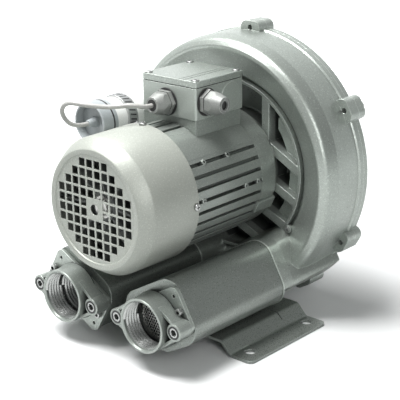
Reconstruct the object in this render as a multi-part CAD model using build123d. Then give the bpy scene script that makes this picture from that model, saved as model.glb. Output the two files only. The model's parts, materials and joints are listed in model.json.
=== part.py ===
from build123d import *
from math import atan2, cos, degrees, pi, radians, sin, sqrt, tan
import os

# Side channel blower with a flanged motor, two silencer ducts and a bent foot bracket.
# Everything is drawn about the shaft: X to the right, Y back along the shaft from the fan
# grille, Z up from the shaft. place() then moves it so that the origin is the middle of the
# four foot holes on the base plane.

BASE = (Align.CENTER, Align.CENTER, Align.MIN)     # a cylinder or box that stands on its place

# Overall places
AXIS_HEIGHT = 158.0        # shaft above the base plane
GRILLE_TO_FOOT = 151.7     # fan grille to the middle of the foot holes
PARTING = 254.0            # joint between the casing and its cover
BACK = 290.5               # rear of the cover

# Pump casing, radii about the shaft
RIM_R = 143.5
BARREL_R = 142.0
RING_FRONT = 190.5         # front edge of the ring housing
LIP_R = 93.0               # inner edge of the ring housing
HUB_R = 57.0
BELL_R = 66.0
BELL_FRONT = 180.0
RECESS_FLOOR = 235.0
WHEEL_BORE_R = 135.4
WHEEL_FACE = 240.0         # casing wall in front of the impeller disc
CHANNEL_R = 18.7           # half of the side channel's round section
CHANNEL_PITCH_R = 116.7
CHANNEL_DEPTH = 20.0       # channel centre to the middle plane of the impeller
WHEEL_MID = 247.0
STRIPPER_HALF = 14.0       # degrees, each side of straight down
LUG_ANGLES = (90.0, 30.0, 150.0, -30.0, 210.0)
LOW_LUG_ANGLES = (-60.0, 240.0)
LUG_R = 152.0
LOW_LUG_R = 157.0
LUG_W = 26.0
BOLT_CIRCLE_R = 145.0
COVER_BOLT = 6.0
COVER_RIBS = 12
RIB_W = 9.5
RIB_FRONT = 207.0
RIB_LINES = ((90.0, -48.5), (-28.0, 50.0), (-26.0, 14.0), (-24.0, -21.0), (-24.0, -56.0))
SHELF_R = 75.0             # the shallow part of the recess starts here
SHELF_Y = 216.0
SHELF_X = 59.0

# Motor
FRAME_FRONT = 75.4
FRAME_BORE_R = 56.0
FIN_R = 67.0
FIN_FLOOR_R = 60.5
FIN_COUNT = 34
FIN_PHASE = 11.6           # degrees, first groove
GROOVE_W = 4.0
CORE_FRONT = 90.0
CORE_BACK = 155.0
ROTOR_R = 33.5
AIR_GAP = 0.5
PIN_R = 3.0
PIN_PLACES = ((33.0, 99.5), (33.0, 135.5), (1.0, 87.5), (1.0, 153.0), (1.0, 172.5))   # angle, y
TIE_ANGLES = (-26.0, 206.0)
TIE_R = 62.0
TIE_SEAT = 160.1           # under the tie screws' heads

# Bearings, size 6204
BEARING_BORE_R = 10.0
BEARING_OUT_R = 23.5
BEARING_W = 14.0
BALL_R = 3.95
BALL_PITCH_R = 16.75
BALL_COUNT = 8
RACE_GAP = 0.06
FRONT_BEARING = 56.0
REAR_BEARING = 204.0

# Fan and cowl
COWL_R = 71.5
COWL_LENGTH = 75.0
COWL_WALL = 2.0
COWL_LIP_R = 62.0
GRILLE_R = 55.5
GRILLE_Y = 1.5
HOLE_PITCH = 10.27
HOLE_SIDE = 6.8
HOLE_ROWS = (4, 6, 8, 10, 10, 10, 10, 8, 6, 4)
FAN_R = 62.0
FAN_BLADES = 8

# Terminal box
BOX_HALF = 37.0
BOX_FRONT = 110.0
BOX_BACK = 184.0
BOX_BASE_Z = 73.4
LID_SEAM_Z = 105.7
LID_TOP_Z = 113.0
BOX_WALL = 3.0
GASKET = 0.8
LID_SCREW_SINK = 1.2
FRONT_GLAND = (-2.5, 87.5)     # x, z on the front wall
SIDE_GLAND = (126.5, 90.0)     # y, z on the right wall
GLAND_BORE_R = 4.6
KNOCK_OUT = (163.5, 90.0)      # y, z of the blank second entry on the right wall
KNOCK_OUT_R = 14.5

# Ducts and ports; the left ones mirror the right ones
PORT_X = 57.4
PORT_Z = -108.0
PORT_FRONT = 4.5
PORT_BORE_R = 22.4             # G 1 1/2 thread, minor radius
PORT_RIM_R = 28.3
FLANGE_BACK = 26.0
PLATE_BACK = 30.0
DUCT_SEAM = 170.0
DUCT_TILT = 29.5
DUCT_HALF_A = 42.7
DUCT_HALF_B = 35.0
DUCT_ROUND = 20.0
DUCT_BOTTOM_Z = -142.5
DUCT_WALL = 4.0
EAR_R = 39.0
EAR_TILT = 4.0
EAR_BOSS_R = 9.0
EAR_SEAT = 16.0                # the screw heads sit this deep
PORT_SCREW = 8.0
PORT_SCREW_HOLE_R = 4.3
PLATE_SCREW_R = 37.0
PLATE_SCREW_ANGLES = (28.5, 208.5)

# Foot bracket, one bent sheet
FOOT_FRONT = 85.5
FOOT_BACK = 213.0
FOOT_SHEET = 3.0
FOOT_HALF_W = 129.0
FOOT_HOLE_X = 112.5
FOOT_HOLE_DY = 47.5
FOOT_HOLE_R = 5.75
RISER_OUT_X = 101.0
RISER_IN_X = 89.0
SLIT_Y = 177.0             # relief slit across each bend

# Capacitor and its cable
CAP_X = -70.8
CAP_Z = 62.2
CAP_ANGLE = degrees(atan2(CAP_Z, CAP_X))
CAN_R = 21.3
CAP_R = 22.0
CAP_FRONT = 65.0
CAP_BACK = 86.0
CUP_FLOOR = 74.0
CAN_FRONT = 77.0
CAN_BACK = 158.0
NIPPLE_TIP = 62.5
CABLE_R = 2.35
CABLE_ROUTE = [
    (-2.5, 88.0, 87.5),
    (-2.5, 77.3, 87.5),
    (-8.8, 66.7, 91.3),
    (-26.7, 52.3, 88.5),
    (-43.6, 36.1, 91.3),
    (-63.8, 27.4, 93.5),
    (-77.5, 31.7, 78.8),
    (-70.8, 41.9, 62.2),
    (-70.8, 62.5, 62.2),
]


def outline(*corners):
    """A face in the XY plane from corners (x, y) or (x, y, rounding)."""
    points = [(corner[0], corner[1]) for corner in corners]
    roundings = [corner[2] if len(corner) == 3 else 0 for corner in corners]
    if any(roundings):
        return make_face(FilletPolyline(*points, radius=roundings, close=True))
    return make_face(Polyline(*points, close=True))


def turned(*corners):
    """A ring about the shaft from corners (radius, y) or (radius, y, rounding)."""
    return revolve(outline(*corners), Axis.Y)


def ring(r_in, r_out, y0, y1):
    """A plain ring about the shaft."""
    return turned((r_in, y0), (r_out, y0), (r_out, y1), (r_in, y1))


def prism(sketch, y0, y1):
    """A front-view sketch, drawn in X and Z, carried back from y0 to y1."""
    return extrude(Plane.XZ.offset(-y0) * sketch, amount=-(y1 - y0))


def rod(radius, y0, y1, x=0.0, z=0.0):
    """A round bar along the shaft direction."""
    return prism(Pos(x, z) * Circle(radius), y0, y1)


def polar(radius, angle):
    """X and Z of a point about the shaft, the angle counted from +X towards +Z."""
    return radius * cos(radians(angle)), radius * sin(radians(angle))


def around(angle):
    """Turns a piece that was drawn at angle 0 about the shaft."""
    return Rot(0, -angle, 0)


def mirrored(piece):
    """The left-hand copy of a right-hand piece."""
    return mirror(piece, about=Plane.YZ)


def cap_screw(size, length):
    """A socket cap screw along +Z, head below zero and shank above it."""
    head = Pos(0, 0, -size) * Cylinder(0.75 * size, size, align=BASE)
    head = chamfer(head.faces().sort_by(Axis.Z)[0].edges(), 0.06 * size)
    socket = Pos(0, 0, -size) * extrude(RegularPolygon(0.46 * size, 6), amount=0.55 * size)
    shank = Cylinder(size / 2, length, align=BASE)
    return head + shank - socket


def pan_screw(size, length):
    """A pan head screw along +Z, head below zero and shank above it."""
    head = Pos(0, 0, -0.6 * size) * Cylinder(0.95 * size, 0.6 * size, align=BASE)
    head = fillet(head.faces().sort_by(Axis.Z)[0].edges(), 0.3 * size)
    slot = Pos(0, 0, -0.6 * size) * Box(1.2 * size, 0.22 * size, 0.5 * size)
    cross = Pos(0, 0, -0.6 * size) * Box(0.22 * size, 1.2 * size, 0.5 * size)
    shank = Cylinder(size / 2, length, align=BASE)
    return head + shank - slot - cross


def hex_screw(size, length):
    """A hexagon head screw along +Z, head below zero and shank above it."""
    head = extrude(RegularPolygon(0.98 * size, 6), amount=-0.65 * size)
    shank = Cylinder(size / 2, length, align=BASE)
    return head + shank


def facing_back(x, y, z):
    """Where a piece drawn along +Z points back along +Y."""
    return Pos(x, y, z) * Rot(-90, 0, 0)


def facing_front(x, y, z):
    """Where a piece drawn along +Z points forward along -Y."""
    return Pos(x, y, z) * Rot(90, 0, 0)


# Pump casing

def duct_sketch(grow=0.0, bottom=DUCT_BOTTOM_Z):
    """Section of the right duct: a tilted rounded rectangle with a flat underside."""
    block = RectangleRounded(2 * (DUCT_HALF_A + grow), 2 * (DUCT_HALF_B + grow), DUCT_ROUND + grow)
    block = Pos(PORT_X, PORT_Z) * Rot(0, 0, DUCT_TILT) * block
    below = Pos(PORT_X, bottom) * Rectangle(200, 100, align=(Align.CENTER, Align.MAX))
    return block - below


def duct_stub():
    """The flared duct on the casing, solid, from the seam back into the ring."""
    flare = 9.0
    straight = prism(duct_sketch(), DUCT_SEAM, 186)
    front = Plane.XZ.offset(-186) * duct_sketch()
    rear = Plane.XZ.offset(-PARTING) * (Pos(3, 2) * duct_sketch(flare, DUCT_BOTTOM_Z - 2))
    return straight + loft([front, rear], ruled=True)


def duct_passage():
    """The air way from the seam into the side channel."""
    chamber = prism(duct_sketch(-DUCT_WALL - 1, DUCT_BOTTOM_Z + 5), DUCT_SEAM, 183)
    x, z = polar(CHANNEL_PITCH_R, degrees(atan2(PORT_Z, PORT_X)))
    return chamber + rod(16, 182, 230, x, z)


def side_channel(mid):
    """The round channel, open all round except at the stripper."""
    open_arc = 360 - 2 * STRIPPER_HALF
    channel = revolve(Pos(CHANNEL_PITCH_R, mid) * Circle(CHANNEL_R), Axis.Y, open_arc)
    return around(-90 - STRIPPER_HALF) * channel


def lugs(y0, y1):
    """The bolting lugs round the rim; the two low ones stand out past the ducts."""
    length = 30
    blocks = []
    for reach, angles in ((LUG_R, LUG_ANGLES), (LOW_LUG_R, LOW_LUG_ANGLES)):
        block = prism(Pos(reach - length / 2, 0) * RectangleRounded(length, LUG_W, 8), y0, y1)
        blocks += [around(angle) * block for angle in angles]
    return blocks


def bolt_places():
    return [polar(BOLT_CIRCLE_R, angle) for angle in LUG_ANGLES + LOW_LUG_ANGLES]


def recess_ribs():
    """Straight bars across the recess on each side, and the shallow shelf between them."""
    room = ring(HUB_R - 1, LIP_R + 3, RIB_FRONT, RECESS_FLOOR + 1)
    length = 150
    bars = Sketch()
    for tilt, offset in RIB_LINES:
        bars += Rot(0, 0, tilt) * Pos(length / 2, offset) * Rectangle(length, RIB_W)
    right = [prism(bars, RIB_FRONT, RECESS_FLOOR + 1) & room]
    sector = Circle(LIP_R + 3) - Circle(SHELF_R)
    sector = sector & Pos(SHELF_X, -SHELF_X) * Rectangle(100, 4 * SHELF_X, align=(Align.MIN, Align.CENTER))
    right.append(prism(sector, SHELF_Y, RECESS_FLOOR + 1))
    return right + [mirrored(piece) for piece in right]


def casing():
    body = turned(
        (20, BELL_FRONT), (BELL_R, BELL_FRONT), (BELL_R, 204, 6), (HUB_R, 217, 4), (HUB_R, RECESS_FLOOR, 2),
        (90, RECESS_FLOOR, 3), (LIP_R, 217, 2), (101, 208), (131, RING_FRONT, 4), (139.5, 196.5, 8),
        (BARREL_R, 212), (BARREL_R, 246), (RIM_R, 247.5), (RIM_R, PARTING), (20, PARTING),
    )
    body += ring(LIP_R, LIP_R + 3, RIB_FRONT - 0.5, 217)
    body += recess_ribs()
    stub = duct_stub()
    keep = rod(LUG_R, DUCT_SEAM, PARTING)
    body += (stub + mirrored(stub)) & keep
    body += lugs(240, PARTING)
    for angle in TIE_ANGLES:
        pad = Pos(61, 0) * RectangleRounded(17, 15, 2)
        body += around(angle) * prism(pad, 175, 203)
    body -= turned(
        (0, 160), (60, 160), (60, 196, 4), (48, REAR_BEARING), (BEARING_OUT_R, REAR_BEARING),
        (BEARING_OUT_R, REAR_BEARING + BEARING_W), (17.5, REAR_BEARING + BEARING_W), (17.5, WHEEL_FACE),
        (98, WHEEL_FACE), (98, 227), (WHEEL_BORE_R, 227), (WHEEL_BORE_R, 260), (0, 260),
    )
    body -= side_channel(WHEEL_MID - CHANNEL_DEPTH)
    passage = duct_passage()
    body -= [passage, mirrored(passage)]
    body -= [rod(COVER_BOLT / 2, 239, PARTING, x, z) for x, z in bolt_places()]
    body -= [rod(4, DUCT_SEAM, DUCT_SEAM + 16, x, z) for x, z in ear_places()]
    body -= [rod(2.5, 160, 190, *polar(TIE_R, angle)) for angle in TIE_ANGLES]
    body -= [Pos(x, y, DUCT_BOTTOM_Z) * Cylinder(4, 32) for x, y in foot_bolt_places()]
    return body


def cover():
    body = turned(
        (0, PARTING), (RIM_R, PARTING), (RIM_R, 261), (BARREL_R, 262.5), (BARREL_R, 274, 6),
        (131, BACK, 8), (104, BACK, 8), (94, 281, 4), (91, 261, 2), (31, 261), (31, 274, 3), (0, 274),
    )
    body += lugs(PARTING, 265)
    rib = extrude(outline((30, 262), (30, 270), (78, 264), (97, 284), (97, 262)), amount=2.5, both=True)
    body += [around(360 / COVER_RIBS * (i + 0.5)) * rib for i in range(COVER_RIBS)]
    body -= rod(26, 250, 269)
    body -= ring(98, WHEEL_BORE_R, 250, 267)
    body -= side_channel(WHEEL_MID + CHANNEL_DEPTH)
    body -= [rod(COVER_BOLT / 2 + 0.3, PARTING, 266, x, z) for x, z in bolt_places()]
    body -= [rod(5, 264, 274, x, z) for x, z in bolt_places()]
    return body


def cover_bolts():
    screw = cap_screw(COVER_BOLT, 20)
    return [facing_front(x, 264, z) * screw for x, z in bolt_places()]


# Impeller and shaft

def impeller():
    body = turned(
        (9.5, WHEEL_FACE + 0.6), (24, WHEEL_FACE + 0.6), (24, 243), (98.4, 243), (98.4, 230), (101.5, 230),
        (106, 239), (119, 244.5), (134.6, 245.8), (134.6, 248.2), (119, 249.5), (106, 255), (101.5, 264),
        (98.4, 264), (98.4, 251), (24, 251), (24, 257), (9.5, 257),
    )
    vane_side = outline((100, 229), (134.6, 229), (134.6, 265), (100, 265))
    vane = extrude(vane_side, amount=1.2, both=True)
    body += [around(10 * i) * vane for i in range(36)]
    body -= key_block()
    return body


def key_block():
    return Pos(0, 248.5, 9.5) * Box(6, 15, 6)


def shaft():
    body = turned(
        (0, 10), (8, 10), (8.5, 11), (8.5, 40), (BEARING_BORE_R, 40), (BEARING_BORE_R, 70), (13, 70),
        (13, 84), (15, 84), (15, 161), (13, 161), (13, REAR_BEARING), (BEARING_BORE_R, REAR_BEARING),
        (BEARING_BORE_R, WHEEL_FACE), (9.5, WHEEL_FACE), (9.5, 255), (0, 255),
    )
    body -= rod(4, 236, 256)
    body -= ring(7.9, 9, 12.9, 14.1)
    return body - key_block()


def impeller_screw():
    return facing_front(0, 260, 0) * cap_screw(8, 22)


def rotor_core():
    body = ring(15, ROTOR_R, CORE_FRONT, CORE_BACK)
    body += ring(22, 32, CORE_FRONT - 5, CORE_FRONT)
    body += ring(22, 32, CORE_BACK, CORE_BACK + 5)
    return body


def stator_core():
    inner = ROTOR_R + AIR_GAP
    body = ring(inner, FRAME_BORE_R, CORE_FRONT, CORE_BACK)
    slot = Pos(inner + 8, 0) * Rectangle(12, 4)
    return body - [around(15 * i) * prism(slot, CORE_FRONT, CORE_BACK) for i in range(24)]


def stator_windings():
    body = ring(37, 50, CORE_FRONT - 13, CORE_FRONT) + ring(37, 50, CORE_BACK, CORE_BACK + 15)
    slot = Pos(ROTOR_R + AIR_GAP + 8, 0) * Rectangle(10, 4)
    return body + [around(15 * i) * prism(slot, CORE_FRONT - 1, CORE_BACK + 1) for i in range(24)]


def outer_race(y):
    groove = revolve(Pos(BALL_PITCH_R, y + BEARING_W / 2) * Circle(BALL_R + RACE_GAP), Axis.Y)
    return ring(19.4, BEARING_OUT_R, y, y + BEARING_W) - groove


def inner_race(y):
    groove = revolve(Pos(BALL_PITCH_R, y + BEARING_W / 2) * Circle(BALL_R + RACE_GAP), Axis.Y)
    return ring(BEARING_BORE_R, 14.1, y, y + BEARING_W) - groove


def ball_set(y):
    """The balls in their cage, one turning piece."""
    mid = y + BEARING_W / 2
    cage = ring(15.4, 18.1, mid - 2.2, mid + 2.2)
    ball = Pos(BALL_PITCH_R, mid, 0) * Sphere(BALL_R)
    return cage + [around(360 / BALL_COUNT * i) * ball for i in range(BALL_COUNT)]


# Motor

def motor_frame():
    groove = Rectangle(20, GROOVE_W)
    section = Circle(FIN_R)
    section -= [place * groove for place in PolarLocations(FIN_FLOOR_R + 10, FIN_COUNT, FIN_PHASE)]
    body = prism(section, FRAME_FRONT, BELL_FRONT)
    pedestal = Pos(0, 40) * Rectangle(2 * BOX_HALF - 1.4, BOX_BASE_Z - 40, align=(Align.CENTER, Align.MIN))
    body += prism(pedestal, BOX_FRONT + 0.7, BELL_FRONT)
    pin = Rot(0, 90, 0) * Cylinder(PIN_R, FIN_R + 1 - 58, align=BASE)
    pin = fillet(pin.faces().sort_by(Axis.X)[-1].edges(), 0.8)
    pin -= Pos(FIN_R - 58, 0, 0) * Rot(0, 90, 0) * Cylinder(1.2, 2)
    body += [around(angle) * Pos(58, y, 0) * pin for angle, y in PIN_PLACES]
    body += around(CAP_ANGLE) * prism(Pos(64, 0) * Rectangle(9, 34), 96, 120)
    for angle in TIE_ANGLES:
        body -= around(angle) * prism(Pos(66, 0) * Rectangle(16, 16), 175, 190)
        body += around(angle) * prism(Pos(61, 0) * Circle(4.6), TIE_SEAT - 2.1, 174.9)
        body -= around(angle) * prism(Pos(TIE_R, 0) * Circle(4.6), 150, TIE_SEAT)
    body -= rod(FRAME_BORE_R, FRAME_FRONT, 190)
    body -= [rod(2.6, 150, 190, *polar(TIE_R, angle)) for angle in TIE_ANGLES]
    body -= Pos(0, 147, 70) * Cylinder(8, 60)
    return body


def tie_screws():
    screw = cap_screw(5, 26)
    return [facing_back(x, TIE_SEAT, z) * screw for x, z in [polar(TIE_R, angle) for angle in TIE_ANGLES]]


def fan_end_shield():
    body = turned(
        (11, 48), (28, 48, 2), (28, 60), (34, 62), (69.3, 62), (69.3, FRAME_FRONT), (55.9, FRAME_FRONT),
        (55.9, 85), (52, 85), (52, 72), (BEARING_OUT_R, 72), (BEARING_OUT_R, 54), (11, 54),
    )
    body -= [around(90 * i) * Pos(66, 71.5, 0) * Rot(0, 90, 0) * Cylinder(2, 12) for i in range(4)]
    return body


def fan():
    body = turned(
        (8.5, 14.2), (15, 14.2, 1), (17, 32), (FAN_R, 35), (FAN_R, 37), (15, 37), (15, 38), (8.5, 38),
    )
    blade = extrude(outline((14, 16), (30, 12), (FAN_R, 12), (FAN_R, 36), (14, 36)), amount=1, both=True)
    return body + [around(360 / FAN_BLADES * i) * blade for i in range(FAN_BLADES)]


def cowl():
    body = turned(
        (0, GRILLE_Y), (GRILLE_R, GRILLE_Y), (GRILLE_R + 0.8, 0), (COWL_LIP_R, 0, 1.5),
        (70.7, 15, 8), (COWL_R, COWL_LENGTH), (COWL_R - COWL_WALL, COWL_LENGTH), (68.7, 16, 6),
        (61, GRILLE_Y + COWL_WALL, 1), (0, GRILLE_Y + COWL_WALL),
    )
    hole = Rectangle(HOLE_SIDE, HOLE_SIDE)
    rows = len(HOLE_ROWS)
    holes = []
    for row, count in enumerate(HOLE_ROWS):
        z = (row - (rows - 1) / 2) * HOLE_PITCH
        for column in range(count):
            x = (column - (count - 1) / 2) * HOLE_PITCH
            if max(abs(x), abs(z)) > HOLE_PITCH:
                holes.append(Pos(x, z) * hole)
    holes.append(Circle(3.75))
    body -= [prism(shape, 0, 5) for shape in holes]
    body -= [around(90 * i) * Pos(70, 71.5, 0) * Rot(0, 90, 0) * Cylinder(2, 8) for i in range(4)]
    return body


def cowl_screws():
    screw = pan_screw(4, 9)
    return [around(90 * i) * Pos(COWL_R, 71.5, 0) * Rot(0, -90, 0) * screw for i in range(4)]


# Terminal box

def upright(sketch, z0, z1):
    """A plan-view sketch carried up from z0 to z1."""
    return Pos(0, 0, z0) * extrude(sketch, amount=z1 - z0)


def box_plan(inset=0.0, rounding=2.5):
    depth = BOX_BACK - BOX_FRONT
    middle = (BOX_FRONT + BOX_BACK) / 2
    return Pos(0, middle) * RectangleRounded(2 * (BOX_HALF - inset), depth - 2 * inset, rounding)


def lid_screw_places():
    return [(x, y) for x in (-32, 32) for y in (BOX_FRONT + 5.5, BOX_BACK - 5.5)]


def terminal_box():
    body = upright(box_plan(), BOX_BASE_Z, LID_SEAM_Z)
    body -= upright(box_plan(BOX_WALL, 2), BOX_BASE_Z + BOX_WALL, LID_SEAM_Z)
    body += [Pos(x, y, 99.6) * Cylinder(4.5, LID_SEAM_Z - 99.6, align=BASE) for x, y in lid_screw_places()]
    body -= [Pos(x, y, LID_SEAM_Z) * Cylinder(2, 10) for x, y in lid_screw_places()]
    body -= Pos(0, 147, BOX_BASE_Z) * Cylinder(8, 10)
    blank = Pos(BOX_HALF, *KNOCK_OUT) * Rot(0, 90, 0) * Cylinder(KNOCK_OUT_R, 0.9, align=BASE)
    body += chamfer(blank.faces().sort_by(Axis.X)[-1].edges(), 0.5)
    body -= rod(10, BOX_FRONT - 1, BOX_FRONT + 5, *FRONT_GLAND)
    body -= Pos(BOX_HALF - 1, *SIDE_GLAND) * Rot(0, 90, 0) * Cylinder(10, 8)
    return body


def lid_gasket():
    sketch = box_plan(0.6) - box_plan(BOX_WALL + 0.6)
    sketch -= [Pos(x, y) * Circle(2.2) for x, y in lid_screw_places()]
    return upright(sketch, LID_SEAM_Z, LID_SEAM_Z + GASKET)


def terminal_lid():
    body = upright(box_plan(), LID_SEAM_Z + GASKET, LID_TOP_Z)
    body = fillet(body.faces().sort_by(Axis.Z)[-1].edges(), 1.2)
    body -= upright(box_plan(BOX_WALL + 0.6), LID_SEAM_Z, LID_TOP_Z - 3)
    body -= [Pos(x, (BOX_FRONT + BOX_BACK) / 2, LID_TOP_Z) * Box(1.2, 90, 1.4) for x in (14, 20)]
    for x, y in lid_screw_places():
        body += Pos(x, y, LID_SEAM_Z + GASKET) * Cylinder(4.5, LID_TOP_Z - LID_SEAM_Z - 2, align=BASE)
        body -= Pos(x, y, LID_SEAM_Z) * Cylinder(2.2, 30)
        body -= Pos(x, y, LID_TOP_Z - LID_SCREW_SINK) * Cylinder(4.6, 8, align=BASE)
    return body


def lid_screws():
    screw = Rot(180, 0, 0) * pan_screw(4, 11)
    return [Pos(x, y, LID_TOP_Z - LID_SCREW_SINK) * screw for x, y in lid_screw_places()]


def terminal_block():
    body = Pos(0, 152, BOX_BASE_Z + BOX_WALL) * Box(44, 26, 12, align=BASE)
    for x in (-16.5, -5.5, 5.5, 16.5):
        body -= Pos(x, 152, BOX_BASE_Z + BOX_WALL + 12) * Box(1.5, 30, 8)
    return body


def terminal_studs():
    stud = Cylinder(2, 10, align=BASE) + extrude(RegularPolygon(4, 6), amount=3)
    return [Pos(x, y, BOX_BASE_Z + BOX_WALL + 12) * stud for x in (-11, 0, 11) for y in (146, 158)]


def gland_body():
    """Cable gland along +Z, the outside of the box wall at zero."""
    body = extrude(RegularPolygon(13.8, 6), amount=5.5)
    body += Pos(0, 0, -9) * Cylinder(10, 9, align=BASE)
    body += Pos(0, 0, 5.5) * Cylinder(9, 8, align=BASE)
    return body - Pos(0, 0, -10) * Cylinder(6.2, 30, align=BASE)


def gland_nut(length):
    """Domed sealing nut, screwed on to the gland body."""
    shell = extrude(RegularPolygon(12.8, 6), amount=length - 6)
    shell = shell & Cylinder(12.2, length, align=BASE)
    shell = Pos(0, 0, 6) * shell
    dome = Pos(0, 0, 5) * Cone(14.5, 8.2, length - 5, align=BASE)
    shell += Pos(0, 0, 6) * Cylinder(10.6, length - 6, align=BASE)
    shell = shell & dome
    shell -= Pos(0, 0, 5) * Cylinder(9, 8.5, align=BASE)
    return shell - Pos(0, 0, 10) * Cylinder(6.2, 30, align=BASE)


def gland_lock_nut():
    return Pos(0, 0, -BOX_WALL - 4) * (extrude(RegularPolygon(12.3, 6), amount=4) - Cylinder(10, 20))


def gland_seal(length, bore):
    ring_part = Pos(0, 0, 11) * Cylinder(6.2, length - 11, align=BASE)
    if bore:
        ring_part -= Cylinder(bore, 100)
    return ring_part


# Ducts, ports and screen

def ear_places():
    """X and Z of the four long port screws."""
    places = []
    for angle in (EAR_TILT, 180 + EAR_TILT):
        x, z = polar(EAR_R, angle)
        places += [(PORT_X + x, PORT_Z + z), (-PORT_X - x, PORT_Z + z)]
    return places


def plate_places(radius, angles):
    """X and Z on the right end plate, at a radius about the port."""
    points = [polar(radius, angle) for angle in angles]
    return [(PORT_X + x, PORT_Z + z) for x, z in points]


def plate_screw_places():
    return plate_places(PLATE_SCREW_R, PLATE_SCREW_ANGLES)


def silencer():
    """Right silencer duct, with screw bosses inside its narrow ends."""
    wall = prism(duct_sketch(), PLATE_BACK, DUCT_SEAM - 1)
    body = wall - prism(duct_sketch(-DUCT_WALL, DUCT_BOTTOM_Z + DUCT_WALL), PLATE_BACK + 4, DUCT_SEAM)
    right = [place for place in ear_places() if place[0] > 0]
    for x, z in right:
        body += rod(7, PLATE_BACK, DUCT_SEAM - 1, x, z) & wall
    for x, z in plate_screw_places():
        body += rod(5, PLATE_BACK, PLATE_BACK + 14, x, z) & wall
    body -= [rod(PORT_SCREW_HOLE_R, PLATE_BACK, DUCT_SEAM, x, z) for x, z in right]
    body -= [rod(2.5, PLATE_BACK, PLATE_BACK + 12, x, z) for x, z in plate_screw_places()]
    return body - rod(23.6, PLATE_BACK - 1, PLATE_BACK + 5, PORT_X, PORT_Z)


def silencer_foam():
    gap = DUCT_WALL + 0.2
    body = prism(duct_sketch(-gap, DUCT_BOTTOM_Z + gap), PLATE_BACK + 4.2, DUCT_SEAM - 3)
    body -= [rod(7.2, PLATE_BACK, DUCT_SEAM, x, z) for x, z in ear_places() if x > 0]
    body -= [rod(5.2, PLATE_BACK, PLATE_BACK + 14.2, x, z) for x, z in plate_screw_places()]
    return body - rod(24, PLATE_BACK, DUCT_SEAM, PORT_X, PORT_Z)


def duct_gasket():
    sketch = duct_sketch(-0.6, DUCT_BOTTOM_Z + 0.6) - duct_sketch(-DUCT_WALL - 1, DUCT_BOTTOM_Z + 5)
    for x, z in ear_places():
        if x > 0:
            sketch += Pos(x, z) * Circle(6) & duct_sketch(-0.6, DUCT_BOTTOM_Z + 0.6)
    body = prism(sketch, DUCT_SEAM - 1, DUCT_SEAM)
    return body - [rod(PORT_SCREW_HOLE_R, DUCT_SEAM - 2, DUCT_SEAM + 1, x, z) for x, z in ear_places()]


def end_plate():
    corners = [Pos(x, z) * Circle(8) for x, z in plate_places(38.5, (4, 55, 184, 235))]
    body = prism(make_hull(Sketch(corners).edges()), FLANGE_BACK, PLATE_BACK)
    body -= rod(PORT_BORE_R + 1.2, FLANGE_BACK, PLATE_BACK, PORT_X, PORT_Z)
    body -= [rod(PORT_SCREW_HOLE_R, FLANGE_BACK, PLATE_BACK, x, z) for x, z in ear_places()]
    body -= [rod(2.6, FLANGE_BACK, PLATE_BACK, x, z) for x, z in plate_screw_places()]
    return body - [rod(1.8, FLANGE_BACK, PLATE_BACK, x, z) for x, z in plate_places(38.5, (53, 233))]


def port_flange():
    """Threaded port with two ears for the long screws."""
    axis = Pos(PORT_X, 0, PORT_Z)
    body = axis * turned(
        (PORT_BORE_R, PORT_FRONT), (PORT_RIM_R, PORT_FRONT, 0.8), (PORT_RIM_R, 14), (30, FLANGE_BACK - 1),
        (PORT_BORE_R, FLANGE_BACK - 1),
    )
    for angle in (EAR_TILT, 180 + EAR_TILT):
        ear = prism(Pos(EAR_R, 0) * Circle(EAR_BOSS_R), 8, FLANGE_BACK - 1)
        base = make_hull(Sketch([Pos(EAR_R, 0) * Circle(EAR_BOSS_R), Pos(10, 0) * Circle(16)]).edges())
        ear += prism(base, 19, FLANGE_BACK - 1)
        ear += extrude(outline((24, 10), (EAR_R - 4, 10), (EAR_R, 25), (24, 25)), amount=3, both=True)
        ear -= rod(6.8, 0, EAR_SEAT, EAR_R, 0)
        ear -= rod(PORT_SCREW_HOLE_R, 0, 30, EAR_R, 0)
        body += axis * around(angle) * ear
    return body - rod(PORT_BORE_R, PORT_FRONT, FLANGE_BACK, PORT_X, PORT_Z)


def port_gasket():
    sketch = Circle(30) - Circle(PORT_BORE_R + 0.6)
    return prism(Pos(PORT_X, PORT_Z) * sketch, FLANGE_BACK - 1, FLANGE_BACK)


def port_screws():
    screw = cap_screw(PORT_SCREW, DUCT_SEAM + 15 - EAR_SEAT)
    return [facing_back(x, EAR_SEAT, z) * screw for x, z in ear_places()]


def plate_screws():
    screw = cap_screw(5, 15)
    right = [facing_back(x, FLANGE_BACK, z) * screw for x, z in plate_screw_places()]
    return right + [mirrored(piece) for piece in right]


def inlet_screen():
    pitch = 5.6
    sketch = Circle(23.4)
    for row in range(-3, 4):
        for column in range(-4, 5):
            x = pitch * (column + (row % 2) / 2)
            z = pitch * row * sqrt(3) / 2
            if sqrt(x * x + z * z) < 19.5:
                sketch -= Pos(x, z) * RegularPolygon(2.6, 6, rotation=30)
    return prism(Pos(PORT_X, PORT_Z) * sketch, FLANGE_BACK + 1.4, FLANGE_BACK + 2.6)


# Foot

def foot_bolt_places():
    return [(x, y) for x in (-48, 48) for y in (190, 207)]


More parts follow.
